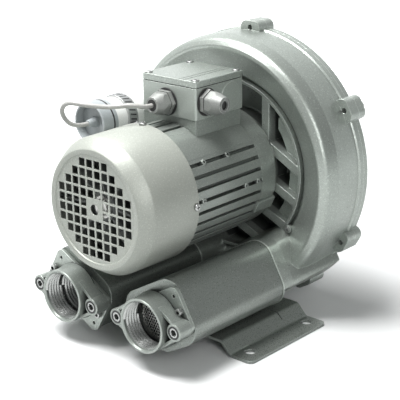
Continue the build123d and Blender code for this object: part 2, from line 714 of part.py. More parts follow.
def foot_bracket():
    """Bent sheet: two flanges, two risers and the raised web between them."""
    base = -AXIS_HEIGHT
    web = DUCT_BOTTOM_Z
    t = FOOT_SHEET
    slope = atan2(web - t - base, RISER_OUT_X - RISER_IN_X)
    shift = t * tan(slope / 2)
    right = [
        (FOOT_HALF_W, base), (FOOT_HALF_W, base + t), (RISER_OUT_X + shift, base + t, 5),
        (RISER_IN_X + shift, web, 5),
    ]
    under = [(RISER_IN_X, web - t, 2), (RISER_OUT_X, base, 2)]
    left = [(-x, *rest) for x, *rest in reversed(right)]
    under_left = [(-x, *rest) for x, *rest in reversed(under)]
    section = outline(*right, *left, *under_left, *under)
    body = prism(section, FOOT_FRONT, FOOT_BACK)
    upright_edges = body.edges().filter_by(Axis.Z)
    body = fillet([edge for edge in upright_edges if abs(edge.center().X) > FOOT_HALF_W - 1], 6)
    for x in (-FOOT_HOLE_X, FOOT_HOLE_X):
        for y in (GRILLE_TO_FOOT - FOOT_HOLE_DY, GRILLE_TO_FOOT + FOOT_HOLE_DY):
            body -= Pos(x, y, base) * Cylinder(FOOT_HOLE_R, 20)
    slit = Pos((RISER_OUT_X + RISER_IN_X) / 2 - 6, SLIT_Y, web) * Box(20, 2, 2 * FOOT_SHEET + 8)
    body -= [slit, mirrored(slit)]
    return body - [Pos(x, y, web) * Cylinder(4.3, 20) for x, y in foot_bolt_places()]


def foot_bolts():
    screw = hex_screw(8, 17)
    return [Pos(x, y, DUCT_BOTTOM_Z - FOOT_SHEET) * screw for x, y in foot_bolt_places()]


# Capacitor

def capacitor_can():
    return rod(CAN_R, CAN_FRONT, CAN_BACK, CAP_X, CAP_Z)


def capacitor_cap():
    body = turned(
        (0, CUP_FLOOR), (CAP_R - 2.5, CUP_FLOOR), (CAP_R - 2, CAP_FRONT), (CAP_R - 0.5, CAP_FRONT),
        (CAP_R, CAP_FRONT + 1), (CAP_R, CAP_BACK), (CAN_R, CAP_BACK), (CAN_R, CAN_FRONT), (0, CAN_FRONT),
    )
    nipple = turned((0, NIPPLE_TIP), (3.6, NIPPLE_TIP, 0.6), (6, CUP_FLOOR + 0.5), (0, CUP_FLOOR + 0.5))
    return Pos(CAP_X, 0, CAP_Z) * (body + nipple)


def capacitor_clamp():
    """Band round the can on a foot that lies on the motor frame's pad."""
    reach = sqrt(CAP_X ** 2 + CAP_Z ** 2)
    band = Pos(reach, 0, 0) * ring(CAN_R, CAN_R + 1.8, 101, 114)
    post = prism(Pos((68.5 + reach - CAN_R) / 2, 0) * Rectangle(reach - CAN_R - 68.5, 12), 101, 114)
    foot = prism(Pos(69.5, 0) * Rectangle(2, 33), 98, 118)
    body = band + post + foot - Pos(reach, 0, 0) * ring(0.1, CAN_R, 90, 130)
    body -= [Pos(70, 108, z) * Rot(0, 90, 0) * Cylinder(2.1, 10) for z in (-12.5, 12.5)]
    return around(CAP_ANGLE) * body


def clamp_screws():
    screw = Rot(0, -90, 0) * hex_screw(3.5, 1.9)
    return [around(CAP_ANGLE) * Pos(70.5, 108, z) * screw for z in (-12.5, 12.5)]


def cable_radii():
    """Bend radius at each inner point of the cable's route."""
    radii = []
    points = [Vector(*point) for point in CABLE_ROUTE]
    for before, here, after in zip(points, points[1:], points[2:]):
        run_in = here - before
        run_out = after - here
        turn = radians(run_in.get_angle(run_out))
        radii.append(0.45 * min(run_in.length, run_out.length) / tan(turn / 2))
    return radii


def capacitor_cable():
    radii = cable_radii()
    print("cable bend radii:", [round(radius, 1) for radius in radii])
    path = FilletPolyline(*CABLE_ROUTE, radius=radii)
    start = Plane(origin=path @ 0, z_dir=path % 0)
    body = sweep(start * Circle(CABLE_R), path=path)
    ratio = body.volume / (pi * CABLE_R ** 2 * path.length)
    print("cable length:", round(path.length, 1), "volume over section times length:", round(ratio, 4))
    return body


def place(piece):
    """From the shaft's frame to the foot pattern's frame."""
    return Pos(0, -GRILLE_TO_FOOT, AXIS_HEIGHT) * piece


def save(name, pieces):
    solids = []
    for piece in pieces if isinstance(pieces, list) else [pieces]:
        solids += place(piece).solids()
    export_step(Compound(solids), f"parts/{name}.step")


def main():
    os.makedirs("parts", exist_ok=True)
    save("casing", casing())
    save("cover", cover())
    save("cover_bolts", cover_bolts())
    save("impeller", impeller())
    save("impeller_key", key_block())
    save("impeller_washer", ring(4.2, 15, 257, 260))
    save("impeller_screw", impeller_screw())
    save("shaft", shaft())
    save("rotor_core", rotor_core())
    save("stator_core", stator_core())
    save("stator_windings", stator_windings())
    for name, y in (("front", FRONT_BEARING), ("rear", REAR_BEARING)):
        save(f"{name}_bearing_outer_ring", outer_race(y))
        save(f"{name}_bearing_inner_ring", inner_race(y))
        save(f"{name}_bearing_balls", ball_set(y))
    save("wave_spring", ring(19.5, 23.4, 54, FRONT_BEARING))
    save("shaft_seal", ring(10.05, 17.5, 229, 236))
    save("motor_frame", motor_frame())
    save("tie_screws", tie_screws())
    save("fan_end_shield", fan_end_shield())
    save("cooling_fan", fan())
    save("fan_clip", ring(7.9, 11.5, 12.9, 14.1))
    save("fan_cowl", cowl())
    save("cowl_screws", cowl_screws())
    save("terminal_box", terminal_box())
    save("lid_gasket", lid_gasket())
    save("terminal_lid", terminal_lid())
    save("lid_screws", lid_screws())
    save("terminal_block", terminal_block())
    save("terminal_studs", terminal_studs())
    front = facing_front(FRONT_GLAND[0], BOX_FRONT, FRONT_GLAND[1])
    side = Pos(BOX_HALF, *SIDE_GLAND) * Rot(0, 90, 0)
    for name, where, length, bore in (("capacitor", front, 22, 0), ("mains", side, 24, GLAND_BORE_R)):
        save(f"{name}_gland_body", where * gland_body())
        save(f"{name}_gland_nut", where * gland_nut(length))
        save(f"{name}_gland_seal", where * gland_seal(length, bore))
    save("gland_lock_nuts", [front * gland_lock_nut(), side * gland_lock_nut()])
    for side_name, shaped in (("right", lambda piece: piece), ("left", mirrored)):
        save(f"{side_name}_silencer", shaped(silencer()))
        save(f"{side_name}_silencer_foam", shaped(silencer_foam()))
        save(f"{side_name}_end_plate", shaped(end_plate()))
        save(f"{side_name}_port_flange", shaped(port_flange()))
    save("duct_gaskets", [duct_gasket(), mirrored(duct_gasket())])
    save("port_gaskets", [port_gasket(), mirrored(port_gasket())])
    save("inlet_screen", inlet_screen())
    save("port_flange_screws", port_screws())
    save("end_plate_screws", plate_screws())
    save("foot_bracket", foot_bracket())
    save("foot_bolts", foot_bolts())
    save("capacitor_can", capacitor_can())
    save("capacitor_cap", capacitor_cap())
    save("capacitor_clamp", capacitor_clamp())
    save("clamp_screws", clamp_screws())
    save("capacitor_cable", capacitor_cable())


main()
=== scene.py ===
# %% [markdown]
# # Dressing a side channel blower
# The packed model is the fixed frame: its nodes have their real shapes and places, and nothing here
# moves them. This lesson adds the camera, the studio, one finish for each substance, and the pieces
# that are finer than the frame's own: the cowl and its grille, the threaded ports, a slimmer cover,
# a honeycomb screen, seals, black pieces that paint the shade of a groove, slots, counterbores and
# a bore, and the cable.

# %% Load the frame
import json
import math

import bmesh
import bpy
from mathutils import Matrix, Vector


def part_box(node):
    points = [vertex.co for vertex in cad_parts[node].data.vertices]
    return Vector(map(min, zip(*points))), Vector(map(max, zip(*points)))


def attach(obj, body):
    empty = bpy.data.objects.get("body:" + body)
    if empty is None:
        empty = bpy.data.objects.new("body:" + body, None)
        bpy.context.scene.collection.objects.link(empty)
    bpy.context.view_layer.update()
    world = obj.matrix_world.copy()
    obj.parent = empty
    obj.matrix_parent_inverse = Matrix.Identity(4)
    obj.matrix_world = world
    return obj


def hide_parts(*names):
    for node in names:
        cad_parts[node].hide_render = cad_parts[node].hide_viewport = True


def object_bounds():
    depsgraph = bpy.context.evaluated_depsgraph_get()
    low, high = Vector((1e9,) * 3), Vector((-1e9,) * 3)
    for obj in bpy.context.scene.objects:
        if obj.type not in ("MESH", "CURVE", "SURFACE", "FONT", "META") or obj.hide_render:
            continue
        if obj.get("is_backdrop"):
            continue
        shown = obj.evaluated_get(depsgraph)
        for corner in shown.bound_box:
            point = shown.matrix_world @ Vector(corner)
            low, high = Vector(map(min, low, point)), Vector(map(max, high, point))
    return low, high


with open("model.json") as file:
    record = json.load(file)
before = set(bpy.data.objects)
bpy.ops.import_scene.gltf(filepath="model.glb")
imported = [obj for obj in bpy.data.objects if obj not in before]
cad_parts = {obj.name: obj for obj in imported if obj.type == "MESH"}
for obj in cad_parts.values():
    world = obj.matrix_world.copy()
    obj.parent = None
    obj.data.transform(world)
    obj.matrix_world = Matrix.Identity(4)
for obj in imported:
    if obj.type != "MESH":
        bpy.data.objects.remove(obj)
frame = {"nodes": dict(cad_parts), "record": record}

cad_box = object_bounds()

# %% [markdown]
# ## Places
# On the real blower every depth is dimensioned along the shaft, from the grille of the fan cowl.
# The frame has its origin between the foot holes instead. We could convert each number by hand, but
# a small function keeps the drawing's own dimensions readable and makes one place to get it right.

# %% Millimetres from the grille
MM = 0.001
SHAFT_HEIGHT = 158.0
GRILLE_TO_FOOT = 151.7
ALONG_SHAFT = (0, 1, 0)


def at(x, y, z):
    """A point in millimetres from the grille's centre, in the frame's metres."""
    return Vector((x * MM, (y - GRILLE_TO_FOOT) * MM, (z + SHAFT_HEIGHT) * MM))


print("shaft end at", [round(value, 4) for value in at(0, 0, 0)])

# %% [markdown]
# ## Camera
# A blower like this is shown with a long lens, so that its round rims stay round. A camera can be
# aimed with a Track To constraint, but that can't hold a roll. We build the turn from three
# directions instead: back along the view, right, and up.

# %% Place the camera
CAMERA_PLACE = at(812.9, -751.5, 380.6)
CAMERA_BACK = Vector((0.6323, -0.7059, 0.3192)).normalized()
CAMERA_ROLL = math.radians(-0.69)
CAMERA_LENS = 107.66
CAMERA_CLIP = 20


def add_camera():
    level = Vector((0, 0, 1)).cross(CAMERA_BACK).normalized()
    right = Matrix.Rotation(CAMERA_ROLL, 3, CAMERA_BACK) @ level
    above = CAMERA_BACK.cross(right)
    data = bpy.data.cameras.new("camera")
    data.lens = CAMERA_LENS
    data.clip_end = CAMERA_CLIP
    camera = bpy.data.objects.new("camera", data)
    turn = Matrix((right, above, CAMERA_BACK)).transposed()
    camera.matrix_world = Matrix.Translation(CAMERA_PLACE) @ turn.to_4x4()
    bpy.context.scene.collection.objects.link(camera)
    bpy.context.scene.camera = camera


add_camera()
print("camera", round(CAMERA_PLACE.length, 3), "m from the foot pattern")

# %% [markdown]
# ## Mesh helpers
# Nearly all small parts of a blower are turned or threaded, so they are profiles swept about an
# axis. A Screw modifier would do it too, but it stays live on the object; the spin operator gives a
# plain mesh at once. seat() says where a part drawn about +Z goes: its foot and its axis.

# %% Seat and finish a mesh
MERGE_DISTANCE = 0.0005
SMOOTH_BELOW = 35


def link(obj):
    bpy.context.scene.collection.objects.link(obj)
    return obj


def seat(place, direction):
    """Takes a part drawn in millimetres about +Z to its place, its axis along direction."""
    turn = Vector(direction).to_track_quat("Z", "Y").to_matrix().to_4x4()
    return Matrix.Translation(place) @ turn @ Matrix.Scale(MM, 4)


def finish_mesh(name, bm, where, flat_angle=SMOOTH_BELOW):
    """Merges doubles, turns the faces outwards, places the mesh and smooths it up to an angle."""
    bmesh.ops.remove_doubles(bm, verts=bm.verts, dist=MERGE_DISTANCE)
    bmesh.ops.transform(bm, matrix=where, verts=bm.verts)
    bmesh.ops.recalc_face_normals(bm, faces=bm.faces)
    for face in bm.faces:
        face.smooth = True
    limit = math.radians(flat_angle)
    for edge in bm.edges:
        edge.smooth = len(edge.link_faces) == 2 and edge.calc_face_angle(0) < limit
    mesh = bpy.data.meshes.new(name)
    bm.to_mesh(mesh)
    bm.free()
    return link(bpy.data.objects.new(name, mesh))


print("edges stay sharp from", SMOOTH_BELOW, "degrees")

# %% Spin, turn and dress
SMALL_STEPS = 32
SPIN_STEPS = 72
FINE_STEPS = 96
FULL_TURN = 2 * math.pi


def spin_profile(bm, profile, steps=SPIN_STEPS):
    """Sweeps a profile of (radius, height) about +Z. It closes, unless both its ends are poles."""
    corners = [bm.verts.new((radius, 0, height)) for radius, height in profile]
    closing = [] if profile[0][0] == profile[-1][0] == 0 else [(corners[-1], corners[0])]
    edges = [bm.edges.new(pair) for pair in [*zip(corners, corners[1:]), *closing]]
    bmesh.ops.spin(bm, geom=corners + edges, cent=(0, 0, 0), axis=(0, 0, 1), angle=FULL_TURN,
                   steps=steps, use_merge=True)


def turn_part(part, degrees):
    """Turns a whole bmesh about +Z."""
    turn = Matrix.Rotation(math.radians(degrees), 3, "Z")
    bmesh.ops.rotate(part, verts=part.verts, cent=(0, 0, 0), matrix=turn)


def dress(piece, finish_name, replaced=()):
    """Gives a finished piece its surface and its body, and hides the nodes it replaces."""
    piece.data.materials.append(finishes[finish_name])
    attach(piece, "root")
    if replaced:
        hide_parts(*replaced)
    print(piece.name, "made:", len(piece.data.vertices), "vertices")


def add_ring(name, profile, where, finish_name, steps=SPIN_STEPS):
    """A piece that is one spun profile."""
    bm = bmesh.new()
    spin_profile(bm, profile, steps)
    dress(finish_mesh(name, bm, where), finish_name)


print("a spin step is", 360 / SPIN_STEPS, "degrees, a fine one", 360 / FINE_STEPS)

# %% [markdown]
# ## Floor paint
# The studio's floor is pale where it is seen and darker where it only bounces light. One pale paint
# would be simpler, but it would light the blower from below and wash out its belly. The Light Path
# node tells the two cases apart, and a glow that rises with distance turns the far sheet white.

# %% Paint of the floor
FLOOR_COLOR = (0.85, 0.86, 0.86, 1)
FLOOR_BOUNCE = (0.30, 0.31, 0.31, 1)
FLOOR_GLOW = (0.9, 0.92, 0.92, 1)
FLOOR_ROUGHNESS = 0.7
FADE_START = 0.45
FADE_END = 1.5


def combine(tree, operation, first, second):
    """Joins two values in one Math node and returns what it gives."""
    node = tree.nodes.new("ShaderNodeMath")
    node.operation = operation
    tree.links.new(first, node.inputs[0])
    tree.links.new(second, node.inputs[1])
    return node.outputs["Value"]


def floor_paint():
    """Pale where it is seen, darker where it only bounces light, and white far behind."""
    paint = bpy.data.materials.new("floor_paint")
    paint.use_nodes = True
    tree = paint.node_tree
    nodes, links = tree.nodes, tree.links
    shader = nodes["Principled BSDF"]
    shader.inputs["Roughness"].default_value = FLOOR_ROUGHNESS
    shader.inputs["Emission Color"].default_value = FLOOR_GLOW
    rays = nodes.new("ShaderNodeLightPath").outputs
    seen = rays["Is Camera Ray"]
    for kind in ("Is Glossy Ray", "Is Transmission Ray"):
        seen = combine(tree, "MAXIMUM", seen, rays[kind])
    tone = nodes.new("ShaderNodeMix")
    tone.data_type = "RGBA"
    tone.inputs["A"].default_value = FLOOR_BOUNCE
    tone.inputs["B"].default_value = FLOOR_COLOR
    links.new(seen, tone.inputs["Factor"])
    links.new(tone.outputs["Result"], shader.inputs["Base Color"])
    distance = nodes.new("ShaderNodeVectorMath")
    distance.operation = "LENGTH"
    links.new(nodes.new("ShaderNodeTexCoord").outputs["Object"], distance.inputs[0])
    fade = nodes.new("ShaderNodeMapRange")
    fade.interpolation_type = "SMOOTHSTEP"
    fade.inputs["From Min"].default_value = FADE_START
    fade.inputs["From Max"].default_value = FADE_END
    links.new(distance.outputs["Value"], fade.inputs["Value"])
    glow = combine(tree, "MULTIPLY", fade.outputs["Result"], seen)
    links.new(glow, shader.inputs["Emission Strength"])
    return paint


print("floor turns white between", FADE_START, "and", FADE_END, "m")

# %% [markdown]
# ## Studio floor
# A studio sheet runs flat under the product and curves up behind it, so that no horizon shows. It
# could be a plane and a wall with a bevelled corner. Here one edge is dragged back, spun up through
# a quarter turn and dragged on, which is how the real sheet hangs.

# %% Floor with a cove
COVE_RADIUS = 1.2
COVE_STEPS = 16
FLOOR_HALF = 30.0
FLOOR_BACK = 1.6
FLOOR_TURN = 42
FLOOR_SMOOTH_BELOW = 60
WALL_RISE = 2.8


def drag_edges(bm, edges, offset):
    """Extrudes edges by an offset and returns the new ones."""
    new = bmesh.ops.extrude_edge_only(bm, edges=edges)["geom"]
    verts = [item for item in new if isinstance(item, bmesh.types.BMVert)]
    bmesh.ops.translate(bm, verts=verts, vec=offset)
    return [item for item in new if isinstance(item, bmesh.types.BMEdge)]


def add_floor():
    bm = bmesh.new()
    ends = [bm.verts.new((side * FLOOR_HALF, -FLOOR_HALF, 0)) for side in (-1, 1)]
    back = drag_edges(bm, [bm.edges.new(ends)], (0, FLOOR_HALF + FLOOR_BACK, 0))
    swept = bmesh.ops.spin(bm, geom=back, cent=(0, FLOOR_BACK, COVE_RADIUS), axis=(1, 0, 0),
                           angle=FULL_TURN / 4, steps=COVE_STEPS)
    top = [item for item in swept["geom_last"] if isinstance(item, bmesh.types.BMEdge)]
    drag_edges(bm, top, (0, 0, WALL_RISE))
    where = Matrix.Rotation(math.radians(FLOOR_TURN), 4, "Z")
    floor = finish_mesh("floor", bm, where, FLOOR_SMOOTH_BELOW)
    floor.data.materials.append(floor_paint())
    floor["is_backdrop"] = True
    print("floor made:", len(floor.data.polygons), "faces")


add_floor()

# %% [markdown]
# ## Light
# Silver paint shows its form by contrast: bright where it faces the lamp, dark on the side that
# turns away. One wide lamp hangs above. A small one stands in front and to the right, low in power,
# and puts the long glint on every rounding that faces it. More lamps would flatten the castings.

# %% Lamps and world
LAMPS = {  # place and size in metres, power in watts
    "key_above": ((-0.42, -0.38, 1.75), (1.1, 1.0), 68),
    "glint_front_right": ((1.4, -0.85, 0.8), (0.5, 0.9), 9),
}
LAMP_TARGET = Vector((0, 0, 0.15))
WORLD_COLOR = (0.95, 0.98, 0.97, 1)
WORLD_LEVEL = 0.20


def add_lamp(name, place, size, power):
    data = bpy.data.lights.new(name, "AREA")
    data.shape = "RECTANGLE"
    data.size, data.size_y = size
    data.energy = power
    lamp = link(bpy.data.objects.new(name, data))
    lamp.location = place
    lamp.rotation_euler = (LAMP_TARGET - Vector(place)).to_track_quat("-Z", "Y").to_euler()


def add_world():
    world = bpy.data.worlds.new("studio")
    world.use_nodes = True
    background = world.node_tree.nodes["Background"]
    background.inputs["Color"].default_value = WORLD_COLOR
    background.inputs["Strength"].default_value = WORLD_LEVEL
    bpy.context.scene.world = world


for lamp_name, (lamp_place, lamp_size, lamp_power) in LAMPS.items():
    add_lamp(lamp_name, lamp_place, lamp_size, lamp_power)
add_world()
bpy.context.scene.view_settings.view_transform = "Standard"
print("lamps:", list(LAMPS))

# %% [markdown]
# ## A kit for finishes
# Each finish is a small node graph: colour that drifts slowly, fine grain in colour and bump, edges
# brightened partly as wear and partly as a painted highlight, and painted shade in the corners. The
# textures read Object coordinates, so they keep their real scale and stay put on the part. Wrapping
# the nodes in a class lets a finish be written as a few plain sentences instead of dozens of links.

# %% Patterns and mixing


class Patterns:
    """A node material under construction."""

    def __init__(self, name):
        self.material = bpy.data.materials.new(name)
        self.material.use_nodes = True
        self.nodes = self.material.node_tree.nodes
        self.shader = self.nodes["Principled BSDF"]
        self.coords = self.nodes.new("ShaderNodeTexCoord").outputs["Object"]

    def join(self, output, target):
        self.material.node_tree.links.new(output, target)

    def noise(self, scale, detail, stretch=(1, 1, 1)):
        """Noise over the object's metres: a scale of 1000 has features of about a millimetre."""
        mapping = self.nodes.new("ShaderNodeMapping")
        mapping.inputs["Scale"].default_value = stretch
        self.join(self.coords, mapping.inputs["Vector"])
        texture = self.nodes.new("ShaderNodeTexNoise")
        texture.inputs["Scale"].default_value = scale
        texture.inputs["Detail"].default_value = detail
        self.join(mapping.outputs["Vector"], texture.inputs["Vector"])
        return texture.outputs["Fac"]

    def remap(self, value, low, high, to_low=0.0, to_high=1.0):
        node = self.nodes.new("ShaderNodeMapRange")
        limits = {"From Min": low, "From Max": high, "To Min": to_low, "To Max": to_high}
        for socket, number in limits.items():
            node.inputs[socket].default_value = number
        self.join(value, node.inputs["Value"])
        return node.outputs["Result"]

    def multiply(self, first, second):
        return combine(self.material.node_tree, "MULTIPLY", first, second)

    def mix(self, factor, first, second):
        """Mixes two colours, each a tuple or a socket."""
        node = self.nodes.new("ShaderNodeMix")
        node.data_type = "RGBA"
        self.join(factor, node.inputs["Factor"])
        for value, socket in ((first, node.inputs["A"]), (second, node.inputs["B"])):
            if isinstance(value, tuple):
                socket.default_value = (*value, 1)
            else:
                self.join(value, socket)
        return node.outputs["Result"]


print("patterns:", [name for name in vars(Patterns) if not name.startswith("_")])

# %% [markdown]
# ## What a finish knows of the shape
# Edges and corners follow the form: edges are brightened, partly as wear and partly as a painted
# highlight, and corners are darkened as painted shade; the casing's deep recess, found by its place
# about the shaft, is darkened as painted shade too. These marks could be painted by hand on each
# piece, and would be lost when its mesh changes. The Bevel and Ambient Occlusion nodes find the
# edges and corners on any mesh, so one finish fits every node.

# %% Edges, corners and pockets
AO_SAMPLES = 6
BEVEL_SAMPLES = 5
BUMP_HEIGHT = 0.2
EDGE_SPREAD = (0.995, 0.9)
RECESS_SHADE_BLUR = 1


class Finish(Patterns):
    """A material that follows the edges, corners and pockets of its mesh."""

    def painted_recess_shade(self, start, end, radius):
        """1 inside a round recess about the shaft, from one depth to another; there the shade is
        painted.
        """
        parts = self.nodes.new("ShaderNodeSeparateXYZ")
        self.join(self.coords, parts.inputs["Vector"])
        flat = self.nodes.new("ShaderNodeMapping")
        flat.inputs["Location"].default_value = (0, 0, -SHAFT_HEIGHT * MM)
        flat.inputs["Scale"].default_value = (1, 0, 1)
        self.join(self.coords, flat.inputs["Vector"])
        away = self.nodes.new("ShaderNodeVectorMath")
        away.operation = "LENGTH"
        self.join(flat.outputs["Vector"], away.inputs[0])
        depths = [(depth - GRILLE_TO_FOOT) * MM for depth in (start, end)]
        deep = self.remap(parts.outputs["Y"], *depths)
        inside = self.remap(away.outputs["Value"], (radius + RECESS_SHADE_BLUR) * MM, radius * MM)
        return self.multiply(deep, inside)

    def openness(self, distance):
        """1 where the surface lies open, towards 0 in corners and pockets."""
        node = self.nodes.new("ShaderNodeAmbientOcclusion")
        node.samples = AO_SAMPLES
        node.inputs["Distance"].default_value = distance
        return node.outputs["AO"]

    def rounded(self, radius):
        """A normal that rounds each edge, and 1 along those edges."""
        bevel = self.nodes.new("ShaderNodeBevel")
        bevel.samples = BEVEL_SAMPLES
        bevel.inputs["Radius"].default_value = radius
        geometry = self.nodes.new("ShaderNodeNewGeometry")
        dot = self.nodes.new("ShaderNodeVectorMath")
        dot.operation = "DOT_PRODUCT"
        self.join(bevel.outputs["Normal"], dot.inputs[0])
        self.join(geometry.outputs["Normal"], dot.inputs[1])
        return bevel.outputs["Normal"], self.remap(dot.outputs["Value"], *EDGE_SPREAD)

    def bump(self, height, strength, normal):
        node = self.nodes.new("ShaderNodeBump")
        node.inputs["Strength"].default_value = strength
        node.inputs["Distance"].default_value = BUMP_HEIGHT * MM
        self.join(height, node.inputs["Height"])
        self.join(normal, node.inputs["Normal"])
        return node.outputs["Normal"]


print("shape masks:", [name for name in vars(Finish) if not name.startswith("_")])

# %% [markdown]
# ## One recipe for every substance
# Paint, metal and plastic get the same layers in the same order: the colour drifts, the grain
# catches light and dark, a recess and the corners are darkened as painted shade, and edges are
# brightened, partly as wear and partly as a painted highlight. Each layer could be a material of
# its own, but then it would need its own faces. Mixed in one graph, the layers overlap anywhere,
# and a substance is a name, a colour and a few amounts.

# %% The recipe
DRIFT_SCALE, DRIFT_SPREAD = 14, (0.35, 0.65)
GRAIN_DETAIL, GRAIN_SPREAD, GRAIN_TONE = 2.0, (0.3, 0.7), 0.72
SPECK_SIZE, SPECK_DETAIL, SPECK_SPREAD, SPECK_TONE = 0.7, 1.0, (0.6, 0.72), 1.45
# Corners found by ambient occlusion are darkened to this tone as painted shade.
CORNER_SHADE_SPREAD, CORNER_SHADE_TONE = (0.75, 0.15), 0.12
# Edges are brightened in patches, partly as wear and partly as a painted highlight.
WEAR_HIGHLIGHT_SCALE, WEAR_HIGHLIGHT_SPREAD, LEAST_WEAR_HIGHLIGHT = 160, (0.3, 0.6), 0.35
RUBBED_HIGHLIGHT_SPREAD, RUBBED_HIGHLIGHT_TONE = (0.45, 0.75), 2.1
# The casing's recess is darkened to this tone as painted shade.
RECESS_SHADE_TONE = 0.3
ROUGHNESS_SWING = 0.09
finishes = {}


def tint(color, factor):
    return tuple(min(1.0, channel * factor) for channel in color)


def surface(name, color, roughness, metallic=0.0, grain=800, grain_bump=0.4, drift=0.05, wear_and_highlight=0.3,
            edge=0.3, corner_shade=0.5, reach=6, mottle=0.35, stretch=(1, 1, 1), coat=0.0, painted_recess_shade=None):
    """One substance. Edge and reach are in millimetres; the amounts of edge brightening, corner
    darkening and mottle run from 0 to 1. Edge brightening is partly wear and partly a painted
    highlight; corner darkening and a recess's darkening are painted shade.
    """
    f = Finish(name)
    fine = f.noise(grain, GRAIN_DETAIL, stretch)
    slow = f.remap(f.noise(DRIFT_SCALE, GRAIN_DETAIL), *DRIFT_SPREAD)
    tone = f.mix(slow, tint(color, 1 - drift), tint(color, 1 + drift))
    tone = f.mix(f.remap(fine, *GRAIN_SPREAD, 0.0, mottle), tone, tint(color, GRAIN_TONE))
    specks = f.noise(grain * SPECK_SIZE, SPECK_DETAIL, stretch)
    tone = f.mix(f.remap(specks, *SPECK_SPREAD, 0.0, mottle), tone, tint(color, SPECK_TONE))
    # Painted shade: the recess about the shaft turns dark.
    if painted_recess_shade:
        tone = f.mix(f.painted_recess_shade(*painted_recess_shade), tone, tint(color, RECESS_SHADE_TONE))
    open_air = f.openness(reach * MM)
    # Painted shade: corners darken where the ambient occlusion closes in.
    tone = f.mix(f.remap(open_air, *CORNER_SHADE_SPREAD, 0, corner_shade), tone, tint(color, CORNER_SHADE_TONE))
    normal, edges = f.rounded(edge * MM)
    # Wear and painted highlight: open edges brighten in patches.
    patchy = f.noise(WEAR_HIGHLIGHT_SCALE, GRAIN_DETAIL)
    broken = f.remap(patchy, *WEAR_HIGHLIGHT_SPREAD, LEAST_WEAR_HIGHLIGHT * wear_and_highlight, wear_and_highlight)
    rubbed_highlight = f.multiply(f.multiply(edges, broken), f.remap(open_air, *RUBBED_HIGHLIGHT_SPREAD))
    tone = f.mix(rubbed_highlight, tone, tint(color, RUBBED_HIGHLIGHT_TONE))
    gloss = (roughness - ROUGHNESS_SWING, roughness + ROUGHNESS_SWING)
    f.join(tone, f.shader.inputs["Base Color"])
    f.join(f.remap(fine, *GRAIN_SPREAD, *gloss), f.shader.inputs["Roughness"])
    f.join(f.bump(fine, grain_bump, normal), f.shader.inputs["Normal"])
    f.shader.inputs["Metallic"].default_value = metallic
    f.shader.inputs["Coat Weight"].default_value = coat
    finishes[name] = f.material
    print("finish", name, "with", len(f.nodes), "nodes")


print("worn edges are", RUBBED_HIGHLIGHT_TONE, "times as bright, dirt", CORNER_SHADE_TONE, "times")

# %% [markdown]
# ## Silver paint
# The castings are sprayed with silver-grey paint over an open grain, so the paint is satin and
# slightly metallic, with a mottled grain and edges brightened partly as wear and partly as a
# painted highlight. The pressed cowl is smoother and paler; the extruded ducts are darker. Calls of
# one recipe keep the paints a family, where one shared material would make the machine look moulded
# in one piece.

# %% Paints
SILVER = (0.378, 0.412, 0.382)
RECESS_SHADE_PLACE = (216.5, 219.0, 91.0)  # the casing's recess, painted dark as shade: where it starts, where it is fully dark, its radius
surface("cast_paint", SILVER, roughness=0.36, metallic=0.65, grain_bump=0.6, wear_and_highlight=0.75, edge=0.9,
        reach=20, mottle=0.6)
surface("sheet_paint", (0.395, 0.415, 0.376), roughness=0.44, metallic=0.3, grain=1100,
        drift=0.04, wear_and_highlight=0.6, edge=0.5, corner_shade=0.4, reach=8, mottle=0.5)
surface("duct_paint", tint(SILVER, 0.66), roughness=0.34, metallic=0.65, grain=900,
        grain_bump=0.6, wear_and_highlight=0.8, edge=0.9, corner_shade=0.6, reach=12, mottle=0.6)
surface("box_paint", tint(SILVER, 1.06), roughness=0.40, metallic=0.50, grain=1100, wear_and_highlight=0.7,
        edge=0.7, reach=8, mottle=0.4)
surface("frame_paint", tint(SILVER, 0.8), roughness=0.38, metallic=0.55, grain=1000,
        grain_bump=0.45, drift=0.06, wear_and_highlight=0.85, edge=0.6, corner_shade=0.8, mottle=0.5)
surface("port_paint", tint(SILVER, 0.86), roughness=0.36, metallic=0.55, grain=1000, wear_and_highlight=0.8,
        edge=0.5, corner_shade=0.85, reach=10, mottle=0.5)
# The joint beads are 1.6 times as light as the silver, as a painted highlight.
surface("bead_highlight_paint", tint(SILVER, 1.6), roughness=0.32, metallic=0.5, grain=900, grain_bump=0.3,
        wear_and_highlight=0.5, edge=0.2, corner_shade=0.3, reach=4, mottle=0.3)
surface("foot_paint", tint(SILVER, 0.72), roughness=0.32, metallic=0.6, grain=1200,
        grain_bump=0.35, wear_and_highlight=0.7, edge=0.7, corner_shade=0.4, reach=8, mottle=0.4)
# The casing's paint also darkens its recess as painted shade.
surface("casing_paint", SILVER, roughness=0.36, metallic=0.65, grain_bump=0.6, wear_and_highlight=0.75,
        edge=0.9, corner_shade=0.25, reach=12, mottle=0.6, painted_recess_shade=RECESS_SHADE_PLACE)

# %% [markdown]
# ## Metals
# Bare metal takes its colour from what it reflects, so most of these are highly metallic and differ
# in roughness and in the direction of their grain: drawn steel has lines along the shaft, stacked
# laminations have lines across it. A scratch image could do this; stretched noise needs no file.

